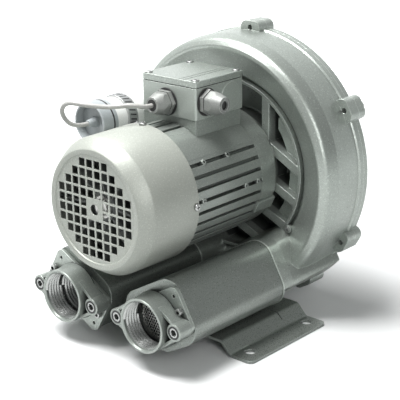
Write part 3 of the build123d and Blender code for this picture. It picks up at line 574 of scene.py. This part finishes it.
# %% Metals
surface("bare_aluminium", (0.55, 0.56, 0.56), roughness=0.36, metallic=0.9, grain=1300,
        grain_bump=0.3, drift=0.06, wear_and_highlight=0.4, edge=0.6, corner_shade=0.6, reach=14)
surface("steel", (0.52, 0.52, 0.50), roughness=0.30, metallic=1.0, grain=2500, grain_bump=0.12,
        reach=5, stretch=(1, 0.05, 1))
surface("screw_zinc", (0.42, 0.43, 0.42), roughness=0.32, metallic=0.9, grain=1800,
        grain_bump=0.2, drift=0.08, wear_and_highlight=0.7, edge=0.35, corner_shade=0.95, reach=5)
surface("thread_metal", (0.40, 0.41, 0.40), roughness=0.30, metallic=0.8, grain=2200,
        grain_bump=0.1, drift=0.06, wear_and_highlight=0.5, edge=0.12, corner_shade=0.9, reach=3)
surface("laminations", (0.22, 0.22, 0.23), roughness=0.45, metallic=0.8, grain=300, drift=0.1,
        reach=5, stretch=(0.05, 8, 0.05))
surface("nickel", (0.29, 0.30, 0.287), roughness=0.5, metallic=0.42, grain=1500, grain_bump=0.2,
        wear_and_highlight=0.8, edge=0.5, corner_shade=0.8)
surface("winding", (0.36, 0.13, 0.05), roughness=0.34, metallic=0.3, grain=500, grain_bump=0.8,
        drift=0.15, wear_and_highlight=0.2, edge=0.5, corner_shade=0.6, reach=5, stretch=(1, 4, 1))

# %% [markdown]
# ## Plastics, rubber and foam
# The capacitor and its cap are pale moulded plastic, its cable a smooth grey jacket, the seals dull
# black rubber. Lower roughness alone would make the plastic look wet; little grain and a thin coat
# give it the sharper highlight that sets it apart from paint. Foam is rough, dark and pitted.

# %% Soft substances
surface("can_plastic", (0.82, 0.83, 0.81), roughness=0.34, grain=900, grain_bump=0.1, drift=0.03,
        edge=0.5, reach=8, coat=0.3)
surface("cap_plastic", (0.36, 0.39, 0.40), roughness=0.36, grain=900, grain_bump=0.14, wear_and_highlight=0.6,
        edge=0.6, corner_shade=0.7, reach=10, coat=0.2)
surface("cable_jacket", (0.42, 0.42, 0.40), roughness=0.36, grain=700, grain_bump=0.12,
        drift=0.04, wear_and_highlight=0.1, corner_shade=0.4, reach=4, coat=0.2)
surface("rubber", (0.022, 0.022, 0.022), roughness=0.62, grain=900, grain_bump=0.3, drift=0.2,
        wear_and_highlight=0.15, corner_shade=0.3, reach=4)
surface("pale_rubber", (0.30, 0.31, 0.30), roughness=0.5, grain_bump=0.2, drift=0.06, corner_shade=0.6,
        reach=4)
# This black paints shade: the rings in the port screws' counterbores, the bars in the clamp band's
# slots and the disc in the gland's bore.
surface("painted_shade_black", (0.03, 0.031, 0.031), roughness=0.5, grain_bump=0.25, drift=0.15,
        wear_and_highlight=0.2, edge=0.4, corner_shade=0.4)
surface("fan_plastic", (0.16, 0.17, 0.165), roughness=0.5, grain_bump=0.2, drift=0.08, edge=0.4,
        corner_shade=0.3)
surface("foam", (0.02, 0.02, 0.02), roughness=0.9, grain=260, grain_bump=1.0, drift=0.3, wear_and_highlight=0.0,
        corner_shade=0.3)

# %% [markdown]
# ## Dressing the nodes
# The record already says which slot each node belongs to, so a table from slot to finish dresses
# most of them; a slot that isn't in it has a finish of its own name. A few nodes share a slot but
# not a look, such as the cast ring, whose recess is painted dark as shade, and the dark ducts, and
# get their own line. Assigning by hand, node by node, would miss one sooner or later.

# %% Finish of every node
SLOT_FINISH = {
    "painted_casting": "cast_paint",
    "painted_sheet": "sheet_paint",
    "screws": "screw_zinc",
    "copper_winding": "winding",
    "black_rubber": "rubber",
    "nickel_gland": "nickel",
    "grey_plastic": "can_plastic",
}
NODE_FINISH = {
    "casing": "casing_paint",
    "right_silencer": "duct_paint",
    "left_silencer": "duct_paint",
    "motor_frame": "frame_paint",
    "terminal_box": "box_paint",
    "foot_bracket": "foot_paint",
    "capacitor_cap": "cap_plastic",
    "mains_gland_seal": "pale_rubber",
}


def dress_nodes():
    slots = {part["node"]: part["material_slot"] for part in frame["record"]["subparts"]}
    for name, node in frame["nodes"].items():
        usual = SLOT_FINISH.get(slots[name], slots[name])
        node.data.materials.clear()
        node.data.materials.append(finishes[NODE_FINISH.get(name, usual)])
    print("dressed nodes:", len(slots))


dress_nodes()

# %% [markdown]
# ## Helpers for plates and webs
# Cast webs and lugs have round ends and straight flanks. Their outline could be worked out tangent
# by tangent, but the hull round a few upright pins is that same outline, and one operator finds it.
# Each part is built on its own and merged in, so that every step sees only its own faces.

# %% Plates and hulls


def everything(bm):
    return [*bm.verts, *bm.edges, *bm.faces]


def merge_in(bm, other):
    """Adds another bmesh to this one."""
    mesh = bpy.data.meshes.new("part")
    other.to_mesh(mesh)
    other.free()
    bm.from_mesh(mesh)
    bpy.data.meshes.remove(mesh)


def add_pin_hull(bm, pins):
    """The hull round upright pins of (x, y, radius, base, top)."""
    part = bmesh.new()
    for x, y, radius, base, top in pins:
        middle = Matrix.Translation((x, y, (base + top) / 2))
        bmesh.ops.create_cone(part, cap_ends=True, segments=SMALL_STEPS, radius1=radius,
                              radius2=radius, depth=top - base, matrix=middle)
    bmesh.ops.delete(part, geom=list(part.edges), context="EDGES_FACES")
    made = bmesh.ops.convex_hull(part, input=list(part.verts))
    spare = {item for key in ("geom_interior", "geom_unused") for item in made[key]}
    spare_verts = [item for item in spare if isinstance(item, bmesh.types.BMVert)]
    bmesh.ops.delete(part, geom=spare_verts, context="VERTS")
    merge_in(bm, part)


print("a pin has", SMALL_STEPS, "sides")

# %% [markdown]
# ## Grille of the fan cowl
# The fan breathes through a grille that is punched into the cowl's shallow dish. The holes could be
# cut with booleans, but those leave slivers between them. A flat disc that is bisected along every
# hole's sides gives clean squares, and deleting some of them punches the grille just as the press
# does. Only the round middle hole needs a filled border.

# %% Where the holes lie
HOLE_PITCH = 10.27
HOLE_SIDE = 8.2
HOLE_ROWS = (4, 6, 8, 10, 10, 10, 10, 8, 6, 4)  # holes in each row, the middle four counted too


def off_middle(x, y):
    """The larger of a place's distances from the middle along rows and columns."""
    return max(abs(x), abs(y))


def hole_middles():
    for row, count in enumerate(HOLE_ROWS):
        for column in range(count):
            x = (column - (count - 1) / 2) * HOLE_PITCH
            y = (row - (len(HOLE_ROWS) - 1) / 2) * HOLE_PITCH
            if off_middle(x, y) > HOLE_PITCH:
                yield x, y


print("holes in the grille:", len(list(hole_middles())))

# %% Punch the grille
GRILLE_R = 55.6
GRILLE_DEPTH = 1.5
GRILLE_SHEET = 1.1
MIDDLE_HOLE_R = 5.6
BLANK_HALF = HOLE_PITCH / 2 + HOLE_SIDE / 2
CUT_DISTANCE = 0.0001


def cut_hole_sides(bm):
    sides = [x + side * HOLE_SIDE / 2 for x, _ in hole_middles() for side in (-1, 1)]
    for line in sorted({round(place, 4) for place in sides}):
        for axis in ((1, 0, 0), (0, 1, 0)):
            bmesh.ops.bisect_plane(bm, geom=everything(bm), dist=CUT_DISTANCE,
                                   plane_co=Vector(axis) * line, plane_no=axis)


def punch_holes(bm):
    """Deletes the holes' squares and the blank round the middle hole."""
    holes = list(hole_middles())

    def punched(face):
        x, y, _ = face.calc_center_median()
        in_hole = any(off_middle(x - hx, y - hy) < HOLE_SIDE / 2 for hx, hy in holes)
        return in_hole or off_middle(x, y) < BLANK_HALF

    bmesh.ops.delete(bm, geom=[face for face in bm.faces if punched(face)], context="FACES")


def fit_middle_hole(bm):
    """Fills the square blank again, all but a round hole."""
    nearest_hole = HOLE_PITCH - HOLE_SIDE / 2 + HOLE_PITCH / 2
    border = []
    for edge in bm.edges:
        x, y, _ = sum((vert.co for vert in edge.verts), Vector()) / 2
        if edge.is_boundary and off_middle(x, y) < nearest_hole:
            border.append(edge)
    rim = bmesh.ops.create_circle(bm, cap_ends=False, segments=SMALL_STEPS,
                                  radius=MIDDLE_HOLE_R)
    rim_edges = {edge for vert in rim["verts"] for edge in vert.link_edges}
    bmesh.ops.triangle_fill(bm, edges=border + list(rim_edges), use_beauty=True, use_dissolve=False)


def make_grille():
    """The punched disc about +Z, at its depth in the cowl."""
    bm = bmesh.new()
    bmesh.ops.create_circle(bm, cap_ends=True, segments=FINE_STEPS, radius=GRILLE_R)
    cut_hole_sides(bm)
    punch_holes(bm)
    fit_middle_hole(bm)
    bmesh.ops.recalc_face_normals(bm, faces=bm.faces)
    bmesh.ops.solidify(bm, geom=list(bm.faces), thickness=GRILLE_SHEET)
    lowest = min(vert.co.z for vert in bm.verts)
    bmesh.ops.translate(bm, verts=bm.verts, vec=(0, 0, GRILLE_DEPTH - lowest))
    return bm


print("middle blank:", round(2 * BLANK_HALF, 2), "mm wide")

# %% [markdown]
# ## Fan cowl
# The cowl is a deep-drawn steel cap, with a soft outer corner and a dish for the grille. It could
# be a cylinder with bevelled rims and a Solidify modifier, but the press draws the dish, the corner
# and the side in one line, and so does a single spun profile that holds the sheet's two skins.

# %% Cowl
COWL_SMOOTH_BELOW = 30
COWL_SIDE = (
    (55.3, 1.5), (55.9, 0.4), (56.6, 0.0), (60.8, 0.0), (61.9, 0.7), (69.8, 13.6), (70.8, 15.4),
    (71.5, 75.0), (70.3, 75.0), (69.5, 16.2), (68.4, 13.6),
    (61.6, 2.6), (60.8, 1.2), (57.4, 1.2), (56.8, 2.6), (55.3, 2.6),
)


def add_cowl():
    bm = bmesh.new()
    spin_profile(bm, COWL_SIDE, FINE_STEPS)
    merge_in(bm, make_grille())
    cowl = finish_mesh("cowl", bm, seat(at(0, 0, 0), ALONG_SHAFT), COWL_SMOOTH_BELOW)
    dress(cowl, "sheet_paint", ["fan_cowl"])


add_cowl()

# %% [markdown]
# ## Threaded ports
# Each port is a small casting: a barrel, two bosses for the long screws, and webs that tie them
# together. Barrel and bosses are spun. A web with round ends is what a hull makes from two pins, so
# one hull per web saves all the tangent geometry. The bore is left at the thread's major diameter.

# %% Port castings
PORT_X = 57.4
PORT_Z = -108.0
PORT_SIDE = (
    (25.0, 4.6), (26.2, 3.1), (27.7, 3.0), (28.3, 3.7), (28.3, 14.0), (29.2, 19.0), (30.0, 24.2),
    (30.0, 25.0), (25.0, 25.0),
)
BOSS_STEPS = 48
BOSS_SIDE = ((6.8, 8.0), (8.4, 8.0), (9.0, 8.6), (9.0, 25.0), (4.3, 25.0), (4.3, 16.0), (6.8, 16.0))
EAR_R = 39.0
EAR_TILT = 4.0
EAR_WEBS = (  # each a row of pins
    ((19, 19.5, 1.6, 10, 24.5), (EAR_R - 1, 7.4, 1.6, 9.2, 24.5)),
    ((25.6, 8, 1.2, 19, 24.9), (25.6, 12, 1.2, 19, 24.9), (EAR_R - 6.5, 6.6, 1.2, 19, 24.9)),
)


def add_port(name, x, tilt, node):
    bm = bmesh.new()
    spin_profile(bm, PORT_SIDE, FINE_STEPS)
    for angle in (-tilt, 180 - tilt):
        ear = bmesh.new()
        spin_profile(ear, BOSS_SIDE, BOSS_STEPS)
        bmesh.ops.translate(ear, verts=ear.verts, vec=(EAR_R, 0, 0))
        for side in (-1, 1):
            for web in EAR_WEBS:
                add_pin_hull(ear, [(out, side * across, *rest) for out, across, *rest in web])
        turn_part(ear, angle)
        merge_in(bm, ear)
    port = finish_mesh(name, bm, seat(at(x, 0, PORT_Z), ALONG_SHAFT))
    dress(port, "port_paint", [node])


add_port("right_port", PORT_X, EAR_TILT, "right_port_flange")
add_port("left_port", -PORT_X, -EAR_TILT, "left_port_flange")

# %% [markdown]
# ## Port threads
# Both ports take a coarse pipe thread cut into the bore. A stack of rings would look much the same,
# but the spin operator makes a true helix for the same work, because it can shift the profile along
# the axis at each step. The crests are bare, as a tap leaves them. The left port has no screen, so
# its thread is seen further down, in a sleeve behind the flange.

# %% Threads in both ports
THREAD_PITCH = 3.7
THREAD_DEPTH = 1.5
THREAD_TURNS = 5
THREAD_STEPS = 60
THREAD_SMOOTH_BELOW = 25
THREAD_FORM = ((0.1, 0.04), (-THREAD_DEPTH, 0.45), (-THREAD_DEPTH, 0.58), (0.1, 0.98))
MOUTH_THREAD = {"root": 25.0, "start": 3.9}
SLEEVE_THREAD = {"root": 23.1, "start": 24.6}
SLEEVE = ((23.1, 24.9), (23.5, 24.9), (23.5, 46.0), (23.1, 46.0))


def add_helix(bm, root, start):
    """One ridge about +Z. Its form is given outwards from the root and in turns along the axis."""
    places = [(root + out, 0, start + turn * THREAD_PITCH) for out, turn in THREAD_FORM]
    corners = [bm.verts.new(place) for place in places]
    ridge = bm.faces.new(corners)
    bmesh.ops.spin(bm, geom=[ridge, *ridge.edges, *corners], cent=(0, 0, 0), axis=(0, 0, 1),
                   dvec=(0, 0, THREAD_PITCH / THREAD_STEPS), angle=FULL_TURN * THREAD_TURNS,
                   steps=THREAD_TURNS * THREAD_STEPS)


def add_port_thread(name, x, deep):
    bm = bmesh.new()
    add_helix(bm, **MOUTH_THREAD)
    if deep:
        spin_profile(bm, SLEEVE)
        add_helix(bm, **SLEEVE_THREAD)
    thread = finish_mesh(name, bm, seat(at(x, 0, PORT_Z), ALONG_SHAFT), THREAD_SMOOTH_BELOW)
    dress(thread, "thread_metal")


add_port_thread("right_port_thread", PORT_X, False)
add_port_thread("left_port_thread", -PORT_X, True)

# %% [markdown]
# ## Casing cover
# Behind the joint lies the cover: a flat rim with the bolting lugs, a ring-shaped bulge that holds
# the other half of the air channel, and a ribbed web up to the middle. All of it is one spun
# profile, with its wall, except the lugs and ribs. Those could be cubes, but a hull of pins rounds
# and tapers them at once, as the draft of the real casting does.

# %% Cover
COVER_STEPS = 128
COVER_SIDE = (
    (0, 274), (29.5, 274), (31, 272.4), (31.6, 262.2), (33, 261), (87.6, 261), (89.8, 262.6),
    (91.2, 268), (93.2, 277), (95.4, 283), (98.8, 287.6), (103.6, 290.1), (109, 290.5),
    (116, 287.9), (122.5, 283.3), (129.5, 277), (135, 270.8), (138.4, 265.4), (139.2, 262.4),
    (142.4, 261.5), (143.5, 260.4), (143.5, 254.05), (135.6, 254.05), (135.6, 265), (132, 270.4),
    (126, 276), (119, 281.4), (112, 284.8), (104.5, 284.2), (100, 279), (97.8, 270),
    (97.6, 254.6), (26, 254.6), (26, 269), (0, 269),
)
LUG_PLACES = (  # reach from the shaft, and angle
    (152, 90), (152, 30), (152, 150), (152, -30), (152, 210), (157, -60), (157, 240),
)
LUG_PIN = (8, 254.05, 265)  # radius, base and top
LUG_HALF = 5
LUG_INWARD = (8, 22)
RIB_COUNT = 12
RIB_WEBS = (
    ((33, 0, 2.3, 260, 269.5), (78, 0, 2.3, 260, 264.2)),
    ((77.5, 0, 2.25, 260.1, 264.1), (93, 0, 2.3, 260, 280)),
)


def add_lugs(bm):
    for reach, angle in LUG_PLACES:
        lug = bmesh.new()
        places = [(reach - inward, side * LUG_HALF) for inward in LUG_INWARD for side in (-1, 1)]
        add_pin_hull(lug, [(*place, *LUG_PIN) for place in places])
        turn_part(lug, 180 - angle)
        merge_in(bm, lug)


def add_ribs(bm):
    for i in range(RIB_COUNT):
        rib = bmesh.new()
        for web in RIB_WEBS:
            add_pin_hull(rib, web)
        turn_part(rib, 360 / RIB_COUNT * (i + 0.5))
        merge_in(bm, rib)


def add_cover():
    bm = bmesh.new()
    spin_profile(bm, COVER_SIDE, COVER_STEPS)
    add_lugs(bm)
    add_ribs(bm)
    cover = finish_mesh("ring_cover", bm, seat(at(0, 0, 0), ALONG_SHAFT))
    dress(cover, "cast_paint", ["cover"])


add_cover()

# %% [markdown]
# ## Dark rings round the port screws
# A black ring round each long screw in its counterbore paints the counterbore's shade and makes the
# screw heads stand out. A torus would be quick, but the ring has a flat front, so its section is
# spun. The four rings share one object; each is seated at its ear, and the whole is scaled back to
# millimetres.

# %% Screw rings
SCREW_SHADE_RING = ((5.0, 7.65), (6.75, 7.65), (6.75, 9.0), (5.6, 9.0), (5.0, 8.2))
SCREW_SHADE_RING_STEPS = 40


def to_millimetres(bm):
    bmesh.ops.scale(bm, vec=(1 / MM,) * 3, verts=bm.verts)


# Black rings that paint the shade in the counterbores round the port screws.
def add_screw_shade_rings():
    bm = bmesh.new()
    for x, tilt in ((PORT_X, EAR_TILT), (-PORT_X, -EAR_TILT)):
        for angle in (tilt, 180 + tilt):
            ring = bmesh.new()
            spin_profile(ring, SCREW_SHADE_RING, SCREW_SHADE_RING_STEPS)
            turn = math.radians(angle)
            reach = Vector((math.cos(turn), 0, math.sin(turn))) * EAR_R
            where = seat(at(x + reach.x, 0, PORT_Z + reach.z), ALONG_SHAFT)
            bmesh.ops.transform(ring, matrix=where, verts=ring.verts)
            merge_in(bm, ring)
    to_millimetres(bm)
    rings = finish_mesh("port_screw_shade_rings", bm, Matrix.Scale(MM, 4))
    dress(rings, "painted_shade_black")


add_screw_shade_rings()

# %% [markdown]
# ## Shoulder under the terminal box
# Beside the pedestal the motor's frame is cast smooth, with no grooves. A cylinder could be cut
# down to that patch with planes, but the spin operator can stop short of a full turn, so one
# rectangle swept through a few degrees makes the curved shoulder.

# %% Smooth shoulders
SHOULDER = ((59.0, 76.0), (67.15, 76.0), (67.15, 179.6), (59.0, 179.6))
SHOULDER_FROM = 38.0
SHOULDER_TO = 66.0
SHOULDER_STEPS = 12


def add_shoulder(name, start, end):
    bm = bmesh.new()
    corners = [bm.verts.new((radius, 0, height)) for radius, height in SHOULDER]
    face = bm.faces.new(corners)
    turn_part(bm, 180 - start)
    bmesh.ops.spin(bm, geom=[face, *face.edges, *corners], cent=(0, 0, 0), axis=(0, 0, 1),
                   angle=math.radians(start - end), steps=SHOULDER_STEPS)
    shoulder = finish_mesh(name, bm, seat(at(0, 0, 0), ALONG_SHAFT))
    dress(shoulder, "frame_paint")


add_shoulder("right_shoulder", SHOULDER_FROM, SHOULDER_TO)
add_shoulder("left_shoulder", 180 - SHOULDER_TO, 180 - SHOULDER_FROM)

# %% [markdown]
# ## Beads at the duct joints
# Where each silencer meets the casing, a bead is painted lighter than the duct as a painted
# highlight along the joint. The bead has to follow the duct's outline exactly, so it is cut from a
# copy of the duct: two bisections leave a thin slice, and its own thickness is pushed out along the
# normals. Drawing the outline again would never fit so well.

# %% Joint beads
BEAD_PLACE = 168.3
BEAD_WIDTH = 1.3
BEAD_CLEAR = 0.2
BEAD_PROUD = 0.7
DUCT_WALL_REACH = 10
COPY_MERGE = 0.00001
COPY_CUT = 0.000001


def slice_duct(bm):
    """Leaves only the part of the duct between the bead's two sides."""
    for depth, outer in ((BEAD_PLACE, False), (BEAD_PLACE + BEAD_WIDTH, True)):
        bmesh.ops.bisect_plane(bm, geom=everything(bm), dist=COPY_CUT, plane_co=at(0, depth, 0),
                               plane_no=ALONG_SHAFT, clear_outer=outer, clear_inner=not outer)


def add_joint_bead(name, node_name):
    bm = bmesh.new()
    bm.from_mesh(frame["nodes"][node_name].data)
    bmesh.ops.remove_doubles(bm, verts=bm.verts, dist=COPY_MERGE)
    low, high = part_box(node_name)
    center = (Vector(low) + Vector(high)) / 2
    slice_duct(bm)
    inner = [face for face in bm.faces
             if (face.calc_center_median() - center).dot(face.normal) < DUCT_WALL_REACH * MM]
    bmesh.ops.delete(bm, geom=inner, context="FACES")
    for vert in bm.verts:
        flat = Vector((vert.co.x - center.x, 0, vert.co.z - center.z)).normalized()
        vert.co += flat * BEAD_CLEAR * MM
    bmesh.ops.recalc_face_normals(bm, faces=bm.faces)
    bmesh.ops.solidify(bm, geom=list(bm.faces), thickness=-BEAD_PROUD * MM)
    to_millimetres(bm)
    dress(finish_mesh(name, bm, Matrix.Scale(MM, 4)), "bead_highlight_paint")


add_joint_bead("right_joint_bead", "right_silencer")
add_joint_bead("left_joint_bead", "left_silencer")

# %% [markdown]
# ## Honeycomb screen
# A fine screen keeps chips out of the right-hand duct. It is punched sheet with six-sided holes in
# staggered rows. Cutting so many holes with booleans is slow and leaves bad faces; laying
# hexagons side by side, insetting each and deleting its middle leaves just the webs between them.

# %% Screen behind the right port
SCREEN_PITCH = 3.3
SCREEN_WEB = 0.42
SCREEN_SHEET = 0.6
SCREEN_R = 20.6
SCREEN_RIM = ((19.4, 0), (22.3, 0), (22.3, 1.0), (19.4, 1.0))
SCREEN_DEPTH = 27.5
CELL_MERGE = 0.01


def hexagon_places():
    rows = int(SCREEN_R / SCREEN_PITCH) + 2
    for row in range(-rows, rows + 1):
        for column in range(-rows, rows + 1):
            x = SCREEN_PITCH * (column + (row % 2) / 2)
            y = SCREEN_PITCH * row * math.sqrt(3) / 2
            if math.hypot(x, y) < SCREEN_R:
                yield x, y


def add_screen():
    bm = bmesh.new()
    for x, y in hexagon_places():
        bmesh.ops.create_circle(bm, cap_ends=True, segments=6, radius=SCREEN_PITCH / math.sqrt(3),
                                matrix=Matrix.Translation((x, y, 0)))
    bmesh.ops.remove_doubles(bm, verts=bm.verts, dist=CELL_MERGE)
    cells = list(bm.faces)
    bmesh.ops.inset_individual(bm, faces=cells, thickness=SCREEN_WEB)
    bmesh.ops.delete(bm, geom=cells, context="FACES")
    bmesh.ops.solidify(bm, geom=list(bm.faces), thickness=SCREEN_SHEET)
    spin_profile(bm, SCREEN_RIM)
    screen = finish_mesh("port_screen", bm, seat(at(PORT_X, SCREEN_DEPTH, PORT_Z), ALONG_SHAFT))
    dress(screen, "steel", ["inlet_screen"])
    print("holes in the screen:", len(cells))


add_screen()

# %% [markdown]
# ## Gland seals and clamping claws
# Under each gland's hexagon lies a flat rubber washer, and the mouth of the open gland shows the
# rounded lip of its insert with a ring of claws that grip the cable. A black disc in the mouth
# paints the shade of its bore. The washers, the lip and the disc are spun; one claw is a bevelled
# block that is copied round the mouth, since the real ones are moulded to one pattern.

# %% Gland trim
FRONT_GLAND = at(-2.5, 110, 87.5)
SIDE_GLAND = at(37, 126.5, 90)
SIDE_MOUTH = SIDE_GLAND + Vector((24.0 * MM, 0, 0))
TO_FRONT = (0, -1, 0)
TO_RIGHT = (1, 0, 0)
WASHER = ((10.2, 0.1), (14.0, 0.1), (14.4, 0.4), (14.4, 0.9), (14.0, 1.2), (10.2, 1.2))
LIP = ((4.75, -0.8), (6.15, -0.8), (6.15, 0.2), (5.9, 0.55), (5.4, 0.7), (4.95, 0.5), (4.75, 0.1))
BORE_SHADE_CUP = ((0, -3.2), (4.55, -3.2), (4.55, -1.4), (4.1, -1.4), (4.1, -2.4), (0, -2.4))
CLAW_COUNT = 12
CLAW_SIZE = (1.1, 0.9, 0.9)
CLAW_PLACE = (6.7, 0, 0.1)
CLAW_ROUND = 0.15


def add_gland_claws():
    bm = bmesh.new()
    spin_profile(bm, LIP)
    block = Matrix.Translation(CLAW_PLACE) @ Matrix.Diagonal((*CLAW_SIZE, 1))
    for i in range(CLAW_COUNT):
        turn = Matrix.Rotation(FULL_TURN / CLAW_COUNT * i, 4, "Z")
        made = bmesh.ops.create_cube(bm, size=1, matrix=turn @ block)
        edges = {edge for vert in made["verts"] for edge in vert.link_edges}
        bmesh.ops.bevel(bm, geom=list(edges), offset=CLAW_ROUND, offset_type="OFFSET", segments=2,
                        profile=0.5, affect="EDGES", material=-1)
    dress(finish_mesh("gland_claws", bm, seat(SIDE_MOUTH, TO_RIGHT)), "pale_rubber")


add_ring("front_gland_washer", WASHER, seat(FRONT_GLAND, TO_FRONT), "rubber")
add_ring("side_gland_washer", WASHER, seat(SIDE_GLAND, TO_RIGHT), "rubber")
add_gland_claws()
# A black disc that paints the shade in the gland's bore.
add_ring("gland_bore_shade", BORE_SHADE_CUP, seat(SIDE_MOUTH, TO_RIGHT), "painted_shade_black",
         SMALL_STEPS)

# %% [markdown]
# ## Capacitor groove and clamp slots, painted as shade
# A black ring paints the shade in the groove where the cap meets the can, and the clamp's band is
# slotted like a hose clip's, so that a screw could bite into it. Boolean cuts in the band would
# mean replacing the node; thin black bars that lie just proud of the band paint the slots' shade
# and leave the band alone.

# %% Ring and slots
CAPACITOR_X = -70.8
CAPACITOR_Z = 62.2
GROOVE_SHADE_RING = ((21.8, 0), (22.1, 0), (22.35, 0.4), (22.35, 1.6), (22.1, 2.0), (21.8, 2.0))
GROOVE_SHADE_DEPTH = 79.5
BAND_R = 23.1
BAND_DEPTH = 107.5
SLOT_ANGLES = range(-60, 121, 12)
SLOT_SIZE = (0.3, 1.5, 8.5)
SLOT_SLANT = 12
SLOT_BEVEL = 0.12


# Black bars that paint the shade inside the band's slots.
def add_clamp_slot_shades():
    bm = bmesh.new()
    slant = Matrix.Rotation(math.radians(SLOT_SLANT), 4, "X")
    bar = Matrix.Translation((BAND_R, 0, 0)) @ slant @ Matrix.Diagonal((*SLOT_SIZE, 1))
    for angle in SLOT_ANGLES:
        turn = Matrix.Rotation(math.radians(angle), 4, "Z")
        bmesh.ops.create_cube(bm, size=1, matrix=turn @ bar)
    bmesh.ops.bevel(bm, geom=list(bm.edges), offset=SLOT_BEVEL, offset_type="OFFSET", segments=1,
                    profile=0.5, affect="EDGES", material=-1)
    bmesh.ops.transform(bm, matrix=Matrix.Scale(-1, 4, (0, 1, 0)), verts=bm.verts)
    to_shaft = Matrix.Rotation(math.radians(-90), 4, "X") @ Matrix.Scale(MM, 4)
    where = Matrix.Translation(at(CAPACITOR_X, BAND_DEPTH, CAPACITOR_Z)) @ to_shaft
    dress(finish_mesh("clamp_slot_shades", bm, where), "painted_shade_black")


# A black ring that paints the shade of the groove between cap and can.
groove_shade_place = at(CAPACITOR_X, GROOVE_SHADE_DEPTH, CAPACITOR_Z)
add_ring("capacitor_groove_shade", GROOVE_SHADE_RING, seat(groove_shade_place, ALONG_SHAFT), "rubber")
add_clamp_slot_shades()

# %% [markdown]
# ## Screws on the opening's lip
# Low on each side of the ring's mouth stands a small round boss with a screw. The boss is a
# cylinder with a bevelled rim, and the screw's head is inset and pushed in to make its socket,
# which is quicker than cutting and keeps the mesh closed.

# %% Lip screws
LIP_SCREW_R = 100.0
LIP_SCREW_ANGLES = {"right": -35.3, "left": 215.3}
LIP_SCREW_FRONT = 204.0
LIP_PARTS = (  # name, finish, slot, then radius, base, top and socket's radius
    ("boss", "cast_paint", "painted_casting", (4.4, -7, 0, 3.2)),
    ("screw", "screw_zinc", "screws", (3.0, -1.0, 0.9, 1.4)),
)
BUTTON_ROUND = 0.4
SOCKET_DEPTH = 0.9


def top_flat(bm):
    """The highest of the flat ends."""
    flats = [face for face in bm.faces if len(face.verts) == SMALL_STEPS]
    return max(flats, key=lambda face: face.calc_center_median().z)


def add_button(bm, radius, base, top, socket):
    """A bevelled cylinder about +Z with a round socket in its top."""
    middle = Matrix.Translation((0, 0, (base + top) / 2))
    bmesh.ops.create_cone(bm, cap_ends=True, segments=SMALL_STEPS, radius1=radius, radius2=radius,
                          depth=top - base, matrix=middle)
    rim = list(top_flat(bm).edges)
    bmesh.ops.bevel(bm, geom=rim, offset=BUTTON_ROUND, offset_type="OFFSET", segments=3,
                    profile=0.5, affect="EDGES", material=-1)
    cap = top_flat(bm)
    bmesh.ops.inset_region(bm, faces=[cap], thickness=radius - BUTTON_ROUND - socket)
    pushed = bmesh.ops.extrude_discrete_faces(bm, faces=[cap])["faces"]
    floor_verts = list({vert for face in pushed for vert in face.verts})
    bmesh.ops.translate(bm, verts=floor_verts, vec=(0, 0, -SOCKET_DEPTH))


def add_lip_screws():
    for side, angle in LIP_SCREW_ANGLES.items():
        x = LIP_SCREW_R * math.cos(math.radians(angle))
        z = LIP_SCREW_R * math.sin(math.radians(angle))
        for name, finish_name, slot, sizes in LIP_PARTS:
            bm = bmesh.new()
            add_button(bm, *sizes)
            where = seat(at(x, LIP_SCREW_FRONT, z), TO_FRONT)
            dress(finish_mesh(f"{side}_lip_{name}", bm, where), finish_name)


add_lip_screws()

# %% [markdown]
# ## Cable
# A thin grey cable leaves the front gland, swings out to the left, turns back in a loop and enters
# the capacitor's cap. It is 146 mm long and limp. A cable can be a mesh tube, but a NURBS curve
# with a round bevel stays smooth at any zoom, and its control points are the route's own.

# %% Capacitor cable
CABLE_DIAMETER = 4.7
CABLE_ROUTE = [
    (-2.5, 88.0, 87.5),
    (-2.5, 77.3, 87.5),
    (-8.8, 66.7, 91.3),
    (-26.7, 52.3, 88.5),
    (-43.6, 36.1, 91.3),
    (-63.8, 27.4, 93.5),
    (-77.5, 31.7, 78.8),
    (-70.8, 41.9, 62.2),
    (-70.8, 62.5, 62.2),
]
CABLE_ROUND_STEPS = 5
CABLE_LONG_STEPS = 16
CABLE_ORDER = 3


def add_cable():
    curve = bpy.data.curves.new("capacitor_lead", "CURVE")
    curve.dimensions = "3D"
    curve.bevel_depth = CABLE_DIAMETER / 2 * MM
    curve.bevel_resolution = CABLE_ROUND_STEPS
    curve.use_fill_caps = True
    spline = curve.splines.new("NURBS")
    spline.points.add(len(CABLE_ROUTE) - 1)
    for point, place in zip(spline.points, CABLE_ROUTE):
        point.co = (*at(*place), 1)
    spline.order_u = CABLE_ORDER
    spline.use_endpoint_u = True
    spline.resolution_u = CABLE_LONG_STEPS
    cable = link(bpy.data.objects.new("capacitor_lead", curve))
    curve.materials.append(finishes["cable_jacket"])
    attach(cable, "root")
    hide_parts("capacitor_cable")
    print("cable route points:", len(CABLE_ROUTE))


add_cable()

# How far the dressed scene's box grew past the frame's box is printed, so that any difference shows
# at a glance.

# %% Print how far the box grew
visual_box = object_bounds()
growth = [abs(a - b) for cad, new in zip(cad_box, visual_box) for a, b in zip(cad, new)]
print("box grew by", [round(value, 5) for value in growth])
